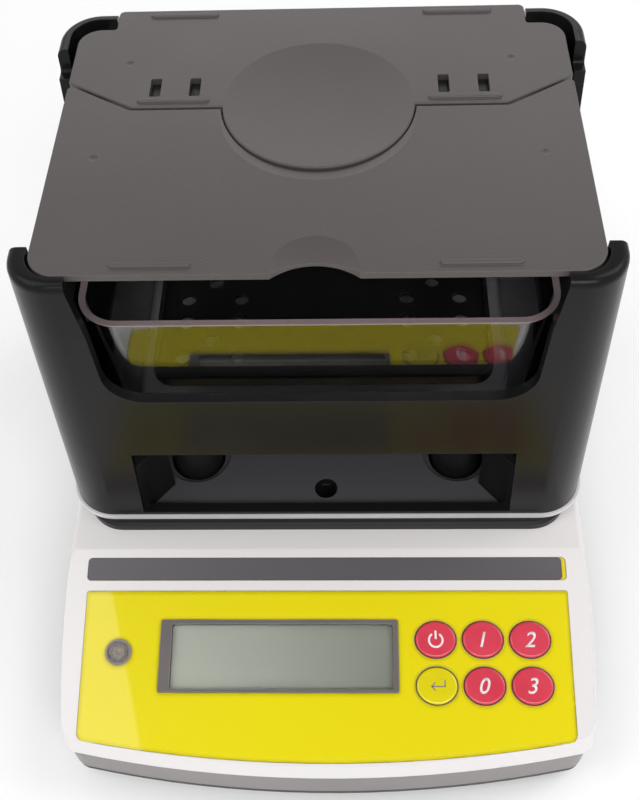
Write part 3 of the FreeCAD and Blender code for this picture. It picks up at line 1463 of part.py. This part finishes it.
for name, spot in zip(FOOT_NAMES, FOOT_SPOTS):
    pad_disc = soften(
        "pad_soft_" + name,
        rod("pad_disc_" + name, S["foot_pad_radius"], spot, (0, pad_high), Radius="Sizes.foot_pad_radius"),
        0.8, at_level(pad_high),
    )
    piece("foot_pad_" + name, cut(
        "foot_pad_" + name, pad_disc,
        rod("pad_socket_" + name, stud_room, spot, (1.2, pad_high + 2),
            Radius="Sizes.foot_screw_radius + Sizes.running_gap"),
    ))
    notches = []
    for k in range(12):
        turn = math.radians(30 * k)
        notches.append(rod(
            "wheel_notch_%s_%d" % (name, k), 0.9,
            (spot[0] + wheel * math.cos(turn), spot[1] + wheel * math.sin(turn)),
            (pad_high - 1, pad_high + 4),
        ))
    piece("foot_screw_" + name, fuse(
        "foot_screw_" + name,
        cut(
            "wheel_" + name,
            rod("wheel_disc_" + name, wheel, spot, (pad_high, pad_high + 2),
                Radius="Sizes.foot_wheel_radius"),
            *notches,
        ),
        rod("stud_" + name, stud, spot, (1.3, pan_boss_top + 5), Radius="Sizes.foot_screw_radius"),
    ))

# ---------------------------------------------------------------- export

doc.recompute()
os.makedirs("parts", exist_ok=True)
for feature in doc.Objects:
    if "Invalid" in feature.State or "Error" in feature.State:
        raise RuntimeError("%s did not build: %s" % (feature.Name, feature.State))
for node, feature in PIECES:
    if feature.Label != node:
        feature.Label = node
    shape = feature.Shape
    if shape.isNull() or not shape.isValid():
        raise RuntimeError(node + " is not a valid solid")
    if not shape.Solids:
        raise RuntimeError(node + " has no solid")
    shape.exportStep("parts/%s.step" % node)
print(len(PIECES), "pieces written")
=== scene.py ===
import math

import bmesh
import bpy
from mathutils import Matrix, Vector
from mathutils.bvhtree import BVHTree

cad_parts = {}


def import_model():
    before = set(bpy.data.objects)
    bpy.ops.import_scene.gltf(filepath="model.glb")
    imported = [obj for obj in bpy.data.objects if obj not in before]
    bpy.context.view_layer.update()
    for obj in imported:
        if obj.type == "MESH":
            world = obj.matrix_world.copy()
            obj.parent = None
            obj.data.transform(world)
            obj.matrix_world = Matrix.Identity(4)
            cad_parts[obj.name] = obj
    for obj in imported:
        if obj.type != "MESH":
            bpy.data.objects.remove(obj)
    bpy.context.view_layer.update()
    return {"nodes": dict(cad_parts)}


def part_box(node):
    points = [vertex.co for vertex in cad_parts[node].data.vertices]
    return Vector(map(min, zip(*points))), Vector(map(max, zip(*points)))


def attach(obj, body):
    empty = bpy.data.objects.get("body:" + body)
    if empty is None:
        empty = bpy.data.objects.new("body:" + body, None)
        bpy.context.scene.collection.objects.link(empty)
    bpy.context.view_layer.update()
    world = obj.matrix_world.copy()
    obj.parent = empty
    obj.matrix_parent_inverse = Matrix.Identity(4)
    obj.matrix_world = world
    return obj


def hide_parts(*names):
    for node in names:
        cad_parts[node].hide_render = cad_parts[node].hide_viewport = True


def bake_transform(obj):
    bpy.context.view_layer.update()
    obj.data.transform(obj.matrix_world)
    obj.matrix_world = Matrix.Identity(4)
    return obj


# All lengths are in metres and all angles in degrees.

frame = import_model()
NODES = frame["nodes"]


def show(made):
    """Links a new object into the scene."""
    bpy.context.scene.collection.objects.link(made)


# ------------------------------------------------------------------ materials

# The Mix node has a socket of each name per data type, so its colour sockets go by number.
MIX_INPUTS = (6, 7)
MIX_RESULT = 2

BLOTCH_DETAIL = 4.0
GRAIN_DETAIL = 2.0
BEVEL_SAMPLES = 4
# Cosine between the bevelled and the flat normal, on an edge and beside it.
EDGE_COSINE = (0.75, 0.99)
# Z of the normal of a face that starts to count as looking up, and of one that does.
UPWARD = (0.8, 0.97)
TOP_FADE = 0.002
FROST_FADE = 0.0006
FROST_TRANSMISSION = 0.6
MOULDED_EDGE = 0.0004
GLOSS_SHARES = (0.96, 1.05)
GLOSS_SCALE = 25.0


class Surface:
    """One procedural Principled material, wired step by step."""

    def __init__(self, name, color, roughness, **sockets):
        self.material = bpy.data.materials.new(name)
        self.material.use_nodes = True
        self.tree = self.material.node_tree
        self.shader = self.tree.nodes["Principled BSDF"]
        self.color = color
        self.roughness = roughness
        self.shader.inputs["Base Color"].default_value = (*color, 1)
        self.shader.inputs["Roughness"].default_value = roughness
        for socket, value in sockets.items():
            self.shader.inputs[socket.replace("_", " ")].default_value = value
        self.coords = self.node("ShaderNodeTexCoord")
        self.normal = None

    def node(self, kind, **settings):
        made = self.tree.nodes.new(kind)
        for key, value in settings.items():
            setattr(made, key, value)
        return made

    def link(self, source, target):
        self.tree.links.new(source, target)

    def noise(self, scale, detail, stretch=(1, 1, 1)):
        mapping = self.node("ShaderNodeMapping")
        mapping.inputs["Scale"].default_value = stretch
        self.link(self.coords.outputs["Object"], mapping.inputs["Vector"])
        noise = self.node("ShaderNodeTexNoise")
        noise.inputs["Scale"].default_value = scale
        noise.inputs["Detail"].default_value = detail
        self.link(mapping.outputs["Vector"], noise.inputs["Vector"])
        return noise.outputs["Fac"]

    def ramp(self, value, low, high, start=0.35, end=0.65):
        """Straight change from low to high while the value goes from start to end."""
        ranged = self.node("ShaderNodeMapRange")
        ranged.inputs["From Min"].default_value = start
        ranged.inputs["From Max"].default_value = end
        ranged.inputs["To Min"].default_value = low
        ranged.inputs["To Max"].default_value = high
        self.link(value, ranged.inputs["Value"])
        return ranged.outputs["Result"]

    def combine(self, operation, first, second):
        made = self.node("ShaderNodeMath", operation=operation)
        self.link(first, made.inputs[0])
        self.link(second, made.inputs[1])
        return made.outputs["Value"]

    def part_of(self, vector, axis):
        split = self.node("ShaderNodeSeparateXYZ")
        self.link(vector, split.inputs["Vector"])
        return split.outputs[axis]

    def place(self, axis):
        """Position along one axis."""
        return self.part_of(self.coords.outputs["Object"], axis)

    def flat_normal(self):
        return self.node("ShaderNodeNewGeometry").outputs["True Normal"]

    def bevel(self, radius):
        soft = self.node("ShaderNodeBevel", samples=BEVEL_SAMPLES)
        soft.inputs["Radius"].default_value = radius
        return soft.outputs["Normal"]

    def tint(self, factor, other):
        """Moves the base colour, as wired so far, towards another colour."""
        socket = self.shader.inputs["Base Color"]
        mix = self.node("ShaderNodeMix", data_type="RGBA")
        self.link(factor, mix.inputs["Factor"])
        if socket.links:
            self.link(socket.links[0].from_socket, mix.inputs[MIX_INPUTS[0]])
        else:
            mix.inputs[MIX_INPUTS[0]].default_value = (*self.color, 1)
        mix.inputs[MIX_INPUTS[1]].default_value = (*other, 1)
        self.link(mix.outputs[MIX_RESULT], socket)

    def vary_color(self, other, scale, start=0.35, end=0.65, amount=1.0, stretch=(1, 1, 1)):
        """Blotchy change towards another colour."""
        blotches = self.noise(scale, BLOTCH_DETAIL, stretch)
        self.tint(self.ramp(blotches, 0.0, amount, start, end), other)

    def painted_light_along_x(self, other, start, end):
        """Painted light: the colour changes from one side of the object to the other."""
        self.tint(self.ramp(self.place("X"), 0.0, 1.0, start, end), other)

    def painted_light_on_top(self, other, front):
        """Painted light: a paler colour on the faces that look up, behind a Y level."""
        upward = self.ramp(self.part_of(self.flat_normal(), "Z"), 0.0, 1.0, *UPWARD)
        behind = self.ramp(self.place("Y"), 0.0, 1.0, front, front + TOP_FADE)
        self.tint(self.combine("MULTIPLY", upward, behind), other)

    def frosted_ends_with_painted_light(self, low, floor_glint_color, high, rim_sheen_color, rough):
        """Frosted finish below one height and above another, its tint painted light on both bands.
        """
        floor = self.ramp(self.place("Z"), 1.0, 0.0, low - FROST_FADE, low)
        rim = self.ramp(self.place("Z"), 0.0, 1.0, high, high + FROST_FADE)
        self.tint(floor, floor_glint_color)
        self.tint(rim, rim_sheen_color)
        frost = self.combine("MAXIMUM", floor, rim)
        for socket, clear, frosted in (
            ("Roughness", self.roughness, rough), ("Transmission Weight", 1.0, FROST_TRANSMISSION),
        ):
            self.link(self.ramp(frost, clear, frosted, 0.0, 1.0), self.shader.inputs[socket])

    def vary_roughness(self, low, high, scale):
        blotches = self.noise(scale, BLOTCH_DETAIL)
        self.link(self.ramp(blotches, low, high), self.shader.inputs["Roughness"])

    def use_normal(self, normal):
        self.normal = normal
        self.link(normal, self.shader.inputs["Normal"])

    def bump(self, scale, depth, stretch=(1, 1, 1)):
        """Adds one scale of grain on top of the normal wired so far."""
        made = self.node("ShaderNodeBump")
        made.inputs["Distance"].default_value = depth
        self.link(self.noise(scale, GRAIN_DETAIL, stretch), made.inputs["Height"])
        if self.normal is not None:
            self.link(self.normal, made.inputs["Normal"])
        self.use_normal(made.outputs["Normal"])

    def round_edges(self, radius):
        """Softens the shading of sharp edges by a small radius."""
        self.use_normal(self.bevel(radius))

    def painted_edge_highlights(self, other, radius=0.0008, amount=0.6):
        """Painted highlight on the edges, found where the bevelled and the flat normal part."""
        dot = self.node("ShaderNodeVectorMath", operation="DOT_PRODUCT")
        self.link(self.bevel(radius), dot.inputs[0])
        self.link(self.flat_normal(), dot.inputs[1])
        self.tint(self.ramp(dot.outputs["Value"], amount, 0.0, *EDGE_COSINE), other)


def moulded(name, color, rough, grain=900.0, depth=0.00003, **sockets):
    """Moulded plastic: soft edges, fine grain and a slightly uneven gloss."""
    surface = Surface(name, color, rough, **sockets)
    surface.round_edges(MOULDED_EDGE)
    surface.bump(grain, depth)
    surface.vary_roughness(*(rough * share for share in GLOSS_SHARES), GLOSS_SCALE)
    return surface


def dress(names, surface):
    """Gives one material to CAD nodes."""
    for name in names:
        data = NODES[name].data
        data.materials.clear()
        data.materials.append(surface.material)


def nodes_named(start):
    return [name for name in NODES if name.startswith(start)]


# Housing and base.
pearl = moulded("pearl_housing", (0.742, 0.714, 0.712), 0.30, grain=700.0, depth=0.000005,
                Coat_Weight=0.35, Coat_Roughness=0.18)
pearl.vary_color((0.73, 0.70, 0.70), 8.0, start=0.2, end=0.8)
dress(["upper_housing"], pearl)

grey = moulded("grey_lower_wall", (0.20, 0.18, 0.175), 0.42, grain=1200.0, depth=0.00002,
               Coat_Weight=0.3, Coat_Roughness=0.2)
grey.vary_color((0.18, 0.16, 0.156), 14.0)
dress(["lower_housing"], grey)

dark = moulded("dark_pan", (0.035, 0.035, 0.037), 0.55, grain=700.0, depth=0.00005)
dark.vary_color((0.05, 0.049, 0.05), 22.0)
dress(["base_pan"], dark)

# Panel, display and keys.
yellow = Surface("yellow_overlay", (0.76, 0.65, 0.0), 0.3,
                 Coat_Weight=0.9, Coat_Roughness=0.03, Specular_IOR_Level=0.2)
yellow.round_edges(0.0028)
yellow.bump(90.0, 0.00003)
yellow.vary_color((0.73, 0.62, 0.0), 9.0)
dress(["keypad_overlay"], yellow)

backing = Surface("yellow_backing", (0.76, 0.64, 0.0), 0.35)
backing.vary_color((0.70, 0.59, 0.0), 40.0)
dress(["strip_backing"], backing)

strip = Surface("grey_strip", (0.105, 0.095, 0.106), 0.34, Specular_IOR_Level=0.6)
strip.bump(1400.0, 0.000012)
strip.vary_color((0.088, 0.080, 0.089), 30.0, stretch=(0.2, 1, 1))
dress(["front_strip"], strip)

bezel = moulded("bezel", (0.132, 0.115, 0.113), 0.36, grain=1800.0, depth=0.00001)
bezel.vary_color((0.112, 0.098, 0.096), 50.0)
# Painted highlight along the bezel's edges, paler than its body.
bezel.painted_edge_highlights((0.42, 0.40, 0.39), radius=0.0005, amount=0.8)
dress(["display_bezel"], bezel)

lcd = Surface("lcd", (0.62, 0.635, 0.55), 0.22)
# Painted light: the LCD is lighter at its left end and darker towards its right.
lcd.painted_light_along_x((0.32, 0.33, 0.28), start=-0.058, end=0.02)
lcd.vary_color((0.36, 0.372, 0.318), 16.0, amount=0.3, stretch=(0.4, 1, 1))
lcd.bump(2500.0, 0.000006)
dress(["lcd_glass"], lcd)

glow = Surface("light_guide", (0.6, 0.62, 0.55), 0.5)
glow.vary_color((0.5, 0.52, 0.46), 60.0)
dress(["backlight_block"], glow)

window = Surface("clear_window", (0.97, 0.98, 0.97), 0.03, Transmission_Weight=1.0, IOR=1.3)
window.vary_roughness(0.02, 0.05, 30.0)
dress(["display_lens", "vial_lens"], window)

for name, nodes, color, other in (
    ("red_key", ["key_power", "key_alloy", "key_unit", "key_zero", "key_mode"],
     (0.60, 0.036, 0.068), (0.64, 0.05, 0.085)),
    ("yellow_key", ["key_enter"], (0.70, 0.60, 0.0), (0.66, 0.565, 0.0)),
):
    cap = Surface(name, color, 0.24, Coat_Weight=0.5, Coat_Roughness=0.1)
    cap.vary_color(other, 90.0)
    cap.bump(900.0, 0.000006)
    dress(nodes, cap)

# Level.
cup = Surface("level_cup", (0.24, 0.205, 0.185), 0.35, Metallic=0.2)
cup.vary_roughness(0.28, 0.45, 900.0)
dress(["vial_cup"], cup)

spirit = Surface("level_spirit", (0.62, 0.53, 0.48), 0.12, IOR=1.36)
spirit.vary_color((0.54, 0.46, 0.415), 220.0)
dress(["vial_liquid"], spirit)

# Stand, plates and what hangs or stands in it.
shell = moulded("black_shell", (0.007, 0.0065, 0.007), 0.24, grain=1300.0, depth=0.000014,
                Specular_IOR_Level=0.14)
shell.vary_color((0.009, 0.0085, 0.009), 26.0)
# Painted highlight along the shell's edges.
shell.painted_edge_highlights((0.03, 0.028, 0.03))
dress(["wind_shell"], shell)

# The pale trim along the shell's foot is a painted reflection of the white base in the shell's
# bottom edge.
painted_reflection_trim = Surface("painted_reflection_trim", (0.72, 0.71, 0.72), 0.32, Metallic=0.2)
painted_reflection_trim.vary_color((0.66, 0.65, 0.66), 60.0)
dress(["shell_trim"], painted_reflection_trim)

INSIDE_SHELL = 0.003
platform = moulded("platform_plate", (0.009, 0.0085, 0.010), 0.4, grain=1100.0, depth=0.00003,
                   Specular_IOR_Level=0.25)
platform.vary_color((0.012, 0.011, 0.013), 40.0)
# Painted light on the platform's top inside the shell, on the lit recess floor.
platform.painted_light_on_top((0.075, 0.072, 0.08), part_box("wind_shell")[0][1] + INSIDE_SHELL)
dress(["platform_plate"], platform)

inner = moulded("inner_frame", (0.007, 0.0065, 0.007), 0.4, grain=1000.0, depth=0.00003,
                Specular_IOR_Level=0.3)
inner.vary_color((0.011, 0.010, 0.011), 40.0)
dress(["weigh_posts", "carrier_frame", "tray_hanger", "water_tray"], inner)

plate = moulded("top_plate", (0.062, 0.052, 0.052), 0.42, grain=1500.0, depth=0.00005,
                Specular_IOR_Level=0.5)
plate.vary_color((0.068, 0.058, 0.058), 14.0)
# Painted highlight along the plates' edges.
plate.painted_edge_highlights((0.14, 0.125, 0.125), radius=0.0006, amount=0.5)
dress(["weighing_plate", "front_cover"], plate)

TANK_FLOOR_BAND = 0.003
TANK_RIM_LEVEL = 0.1622
tank = Surface("clear_tank", (0.93, 0.91, 0.94), 0.02, Transmission_Weight=1.0, IOR=1.58)
# The floor band is tinted pale as a painted glint of the tank's bottom edge, and the rim band
# mauve as a painted sheen of the lit rim.
tank.frosted_ends_with_painted_light(
    low=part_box("water_tank")[0][2] + TANK_FLOOR_BAND, floor_glint_color=(0.85, 0.86, 0.88),
    high=TANK_RIM_LEVEL, rim_sheen_color=(0.48, 0.36, 0.37), rough=0.5,
)
dress(["water_tank"], tank)

# Works and fasteners.
board = Surface("circuit_board", (0.02, 0.13, 0.05), 0.35, Coat_Weight=0.3)
board.vary_color((0.03, 0.17, 0.07), 300.0)
dress(["control_board", "main_board"], board)

chips = Surface("chips", (0.02, 0.02, 0.022), 0.5)
chips.vary_color((0.04, 0.04, 0.04), 500.0)
dress(["tact_switches", "board_parts", "power_inlet"], chips)

steel = Surface("zinc_steel", (0.52, 0.52, 0.53), 0.32, Metallic=1.0)
steel.vary_roughness(0.25, 0.42, 400.0)
steel.vary_color((0.42, 0.42, 0.44), 200.0)
dress(nodes_named("foot_screw") + [
    "board_screws", "cell_screws", "overload_stop", "data_port", "housing_screws",
    "shell_screws", "spider_screws", "cell_spacer",
], steel)

alloy = Surface("machined_alloy", (0.66, 0.66, 0.67), 0.3, Metallic=1.0)
alloy.bump(800.0, 0.00001, stretch=(0.05, 1, 1))
alloy.vary_roughness(0.25, 0.4, 90.0)
dress(["load_cell", "load_spider", "spider_spacer"], alloy)

brass = Surface("brass", (0.62, 0.46, 0.2), 0.3, Metallic=1.0)
brass.vary_roughness(0.25, 0.42, 300.0)
dress(["foot_bushes"], brass)

rubber = Surface("black_rubber", (0.022, 0.022, 0.022), 0.75)
rubber.bump(1600.0, 0.00005)
rubber.vary_color((0.035, 0.035, 0.034), 90.0)
dress(nodes_named("foot_pad") + ["post_caps", "tank_strips"], rubber)


# ------------------------------------------------------------------ load cell


def bending_bar():
    """Load cell copied into an object of its own, in place of the hidden CAD node."""
    made = bpy.data.objects.new("bending_bar", NODES["load_cell"].data.copy())
    show(made)
    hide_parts("load_cell")
    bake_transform(made)


bending_bar()


# ------------------------------------------------------------------ printed marks

# The panel's own plane: X to the right, Y up the slope, origin at its upper end.
PANEL = Matrix.Translation((0, -0.044, 0.055)) @ Matrix.Rotation(math.radians(14), 4, "X")
ABOVE_PANEL = 0.01
INK_THICKNESS = 0.00003
WELD_DISTANCE = 1e-7

KEY_COLUMNS = (0.0398, 0.05675, 0.0737)
KEY_ROWS = (-0.0337, -0.0500)
# Half axes of a key's opening, and where its ring begins and ends beyond them.
KEY_OPENING = (0.00755, 0.00675)
KEY_RING = (0.00003, 0.0002)

INK_SCALE = 700.0

FIGURE_SIZE = 0.0078
FIGURE_SLANT = 0.25
FIGURE_WEIGHT = 0.00006
# Figure, key, column, row.
FIGURES = (("1", "key_alloy", 1, 0), ("2", "key_unit", 2, 0),
           ("0", "key_zero", 1, 1), ("3", "key_mode", 2, 1))

POWER_CENTRE = (0, -0.0003)
POWER_RADII = (0.0021, 0.0028)
POWER_TURNS = (122, 418)
POWER_STEPS = 48
POWER_BAR = ((0, 0.0031), (0, 0.0001))
POWER_STROKE = 0.0007

RETURN_STROKE = 0.00045
RETURN_BARS = (
    ((0.0028, 0.0021), (0.0028, -0.0003)),
    ((0.003025, -0.0003), (-0.0019, -0.0003)),
    ((-0.0021, -0.00046), (-0.0006, 0.0011)),
    ((-0.0021, -0.00014), (-0.0006, -0.0017)),
)

LEVEL_SPOT = (-0.0751, -0.0383)
# Inner radius, outer radius, steps.
LEVEL_RINGS = ((0.0024, 0.00254, 40), (0.0031, 0.00324, 48))


def printing_ink(name, color, rough, other):
    made = Surface(name, color, rough)
    made.vary_color(other, INK_SCALE)
    return made


white_ink = printing_ink("white_ink", (0.82, 0.76, 0.76), 0.3, (0.76, 0.68, 0.69))
grey_ink = printing_ink("grey_ink", (0.19, 0.18, 0.17), 0.35, (0.24, 0.225, 0.20))
dark_ink = printing_ink("dark_ink", (0.055, 0.042, 0.038), 0.4, (0.075, 0.06, 0.055))


def print_on(name, shape, spot, node, body, ink):
    """Lays a flat mesh, drawn round a spot of the panel, on a CAD node as a thin film of ink."""
    carrier = NODES[node].data
    face = BVHTree.FromPolygons(
        [vertex.co for vertex in carrier.vertices],
        [polygon.vertices for polygon in carrier.polygons],
    )
    down = -(PANEL.to_3x3() @ Vector((0, 0, 1)))
    for vertex in shape.vertices:
        start = PANEL @ Vector((spot[0] + vertex.co.x, spot[1] + vertex.co.y, ABOVE_PANEL))
        vertex.co = face.ray_cast(start, down)[0] - down * INK_THICKNESS
    shape.materials.clear()
    shape.materials.append(ink.material)
    made = bpy.data.objects.new(name, shape)
    show(made)
    film = made.modifiers.new("film", "SOLIDIFY")
    film.thickness = INK_THICKNESS
    film.offset = -1
    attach(made, body)


def digit(text):
    """Flat mesh of one slanted bold figure, centred on its spot."""
    curve = bpy.data.curves.new("figure", "FONT")
    curve.body = text
    curve.size = FIGURE_SIZE
    curve.shear = FIGURE_SLANT
    curve.offset = FIGURE_WEIGHT
    holder = bpy.data.objects.new("figure", curve)
    show(holder)
    bpy.context.view_layer.update()
    drawn = holder.evaluated_get(bpy.context.evaluated_depsgraph_get())
    shape = bpy.data.meshes.new_from_object(drawn)
    bpy.data.objects.remove(holder)
    for axis in (0, 1):
        places = [vertex.co[axis] for vertex in shape.vertices]
        middle = (min(places) + max(places)) / 2
        for vertex in shape.vertices:
            vertex.co[axis] -= middle
    return shape


def flat_mesh(*bands):
    """Mesh from bands, each a list of point pairs that are bridged one to the next."""
    made = bmesh.new()
    for pairs in bands:
        rows = [(made.verts.new((*a, 0)), made.verts.new((*b, 0))) for a, b in pairs]
        for first, second in zip(rows, rows[1:]):
            made.faces.new((first[0], first[1], second[1], second[0]))
    bmesh.ops.remove_doubles(made, verts=made.verts, dist=WELD_DISTANCE)
    bmesh.ops.recalc_face_normals(made, faces=made.faces)
    made.faces.ensure_lookup_table()
    if made.faces[0].normal.z < 0:
        bmesh.ops.reverse_faces(made, faces=made.faces)
    shape = bpy.data.meshes.new("flat")
    made.to_mesh(shape)
    made.free()
    return shape


def arc_band(centre, inner, outer, start=0, end=360, steps=72):
    """Part of an elliptic ring; inner and outer are pairs of half axes."""
    pairs = []
    for step in range(steps + 1):
        turn = math.radians(start + (end - start) * step / steps)
        pairs.append(tuple(
            (centre[0] + axes[0] * math.cos(turn), centre[1] + axes[1] * math.sin(turn))
            for axes in (inner, outer)
        ))
    return pairs


def round_band(centre, inner, outer, start=0, end=360, steps=72):
    """Part of a round ring between two radii."""
    return arc_band(centre, (inner, inner), (outer, outer), start, end, steps)


def bar_band(start, end, width, steps=8):
    """Straight stroke between two points."""
    way = Vector((end[0] - start[0], end[1] - start[1]))
    side = Vector((-way.y, way.x)).normalized() * width / 2
    pairs = []
    for step in range(steps + 1):
        at = Vector(start) + way * step / steps
        pairs.append((tuple(at + side), tuple(at - side)))
    return pairs


def grown(axes, by):
    return axes[0] + by, axes[1] + by


for column, x in enumerate(KEY_COLUMNS):
    for line, y in enumerate(KEY_ROWS):
        print_on(
            "key_ring_%d%d" % (column, line),
            flat_mesh(arc_band((0, 0), *(grown(KEY_OPENING, by) for by in KEY_RING))),
            (x, y), "keypad_overlay", "tester", grey_ink,
        )
for figure, node, column, line in FIGURES:
    print_on(
        "figure_" + node, digit(figure), (KEY_COLUMNS[column], KEY_ROWS[line]),
        node, node + "_body", white_ink,
    )
print_on(
    "power_mark",
    flat_mesh(
        round_band(POWER_CENTRE, *POWER_RADII, *POWER_TURNS, steps=POWER_STEPS),
        bar_band(*POWER_BAR, POWER_STROKE),
    ),
    (KEY_COLUMNS[0], KEY_ROWS[0]), "key_power", "key_power_body", white_ink,
)
print_on(
    "return_mark",
    flat_mesh(*(bar_band(start, end, RETURN_STROKE) for start, end in RETURN_BARS)),
    (KEY_COLUMNS[0], KEY_ROWS[1]), "key_enter", "key_enter_body", grey_ink,
)
print_on(
    "level_rings",
    flat_mesh(*(round_band((0, 0), inner, outer, steps=steps)
                for inner, outer, steps in LEVEL_RINGS)),
    LEVEL_SPOT, "vial_lens", "tester", dark_ink,
)


# ------------------------------------------------------------------ stage, camera, light

CAMERA_PLACE = (0.01149, -0.238, 0.417)
CAMERA_YAW = 3.2284
CAMERA_ROLL = -2.9901
CAMERA_PITCH = 53.979
FOCAL_PIXELS = 1088.0
PICTURE_PIXELS = 800.0
SENSOR_MM = 36.0

FLOOR_SIZE = 6.0
FLOOR_LEVEL = -0.0002
FLOOR_GREY = 0.94
FLOOR_ROUGHNESS = 0.9

# The world's light by the Z of its direction: walls up to the first, ceiling from the second.
WALL_TOP = 0.45
CEILING_START = 0.95
WALL_STRENGTH = 0.75
CEILING_STRENGTH = 0.12

# Name, place, point aimed at, size, power in watts.
LAMPS = (
    ("left_panel", (-0.80, -0.17, 1.2), (0, 0, 0.1), (0.8, 1.0), 5),
    ("right_panel", (0.85, 0.15, 1.1), (0, 0, 0.1), (0.6, 0.9), 5),
    ("front_panel", (0.15, -0.95, 1.1), (0, -0.05, 0.08), (1.1, 0.45), 9.5),
    ("rear_panel", (0.0, 1.15, 0.85), (0, 0, 0.17), (1.4, 0.4), 3),
)


def camera():
    """Camera at the place and angle of the photograph."""
    yaw, roll, pitch = (math.radians(turn) for turn in (CAMERA_YAW, CAMERA_ROLL, CAMERA_PITCH))
    forward = Vector((
        -math.sin(yaw) * math.cos(pitch), math.cos(yaw) * math.cos(pitch), -math.sin(pitch),
    ))
    level = Vector((math.cos(yaw), math.sin(yaw), 0))
    above = level.cross(forward)
    right = level * math.cos(roll) + above * math.sin(roll)
    up = above * math.cos(roll) - level * math.sin(roll)
    data = bpy.data.cameras.new("camera")
    data.sensor_width = SENSOR_MM
    data.lens = FOCAL_PIXELS / PICTURE_PIXELS * SENSOR_MM
    made = bpy.data.objects.new("camera", data)
    made.matrix_world = Matrix((
        (right.x, up.x, -forward.x, CAMERA_PLACE[0]),
        (right.y, up.y, -forward.y, CAMERA_PLACE[1]),
        (right.z, up.z, -forward.z, CAMERA_PLACE[2]),
        (0, 0, 0, 1),
    ))
    show(made)
    bpy.context.scene.camera = made


def floor():
    """Plain pale floor, just under the feet."""
    bpy.ops.mesh.primitive_plane_add(size=FLOOR_SIZE, location=(0, 0, FLOOR_LEVEL))
    made = bpy.context.object
    made.name = "floor"
    paper = bpy.data.materials.new("floor_paper")
    paper.use_nodes = True
    shader = paper.node_tree.nodes["Principled BSDF"]
    shader.inputs["Base Color"].default_value = (FLOOR_GREY, FLOOR_GREY, FLOOR_GREY, 1)
    shader.inputs["Roughness"].default_value = FLOOR_ROUGHNESS
    made.data.materials.append(paper)


def world():
    """Studio with pale walls and a darker ceiling."""
    made = bpy.data.worlds.new("studio")
    made.use_nodes = True
    tree = made.node_tree
    back = tree.nodes["Background"]
    coords = tree.nodes.new("ShaderNodeTexCoord")
    split = tree.nodes.new("ShaderNodeSeparateXYZ")
    height = tree.nodes.new("ShaderNodeMapRange")
    height.inputs["From Min"].default_value = WALL_TOP
    height.inputs["From Max"].default_value = CEILING_START
    height.inputs["To Min"].default_value = WALL_STRENGTH
    height.inputs["To Max"].default_value = CEILING_STRENGTH
    tree.links.new(coords.outputs["Generated"], split.inputs["Vector"])
    tree.links.new(split.outputs["Z"], height.inputs["Value"])
    tree.links.new(height.outputs["Result"], back.inputs["Strength"])
    back.inputs["Color"].default_value = (1, 1, 1, 1)
    bpy.context.scene.world = made


def lamp(name, place, aim, size, power):
    data = bpy.data.lights.new(name, "AREA")
    data.shape = "RECTANGLE"
    data.size, data.size_y = size
    data.energy = power
    made = bpy.data.objects.new(name, data)
    made.location = place
    made.rotation_mode = "QUATERNION"
    made.rotation_quaternion = (Vector(aim) - Vector(place)).to_track_quat("-Z", "Y")
    show(made)


camera()
floor()
world()
for row in LAMPS:
    lamp(*row)
bpy.context.scene.view_settings.view_transform = "Standard"
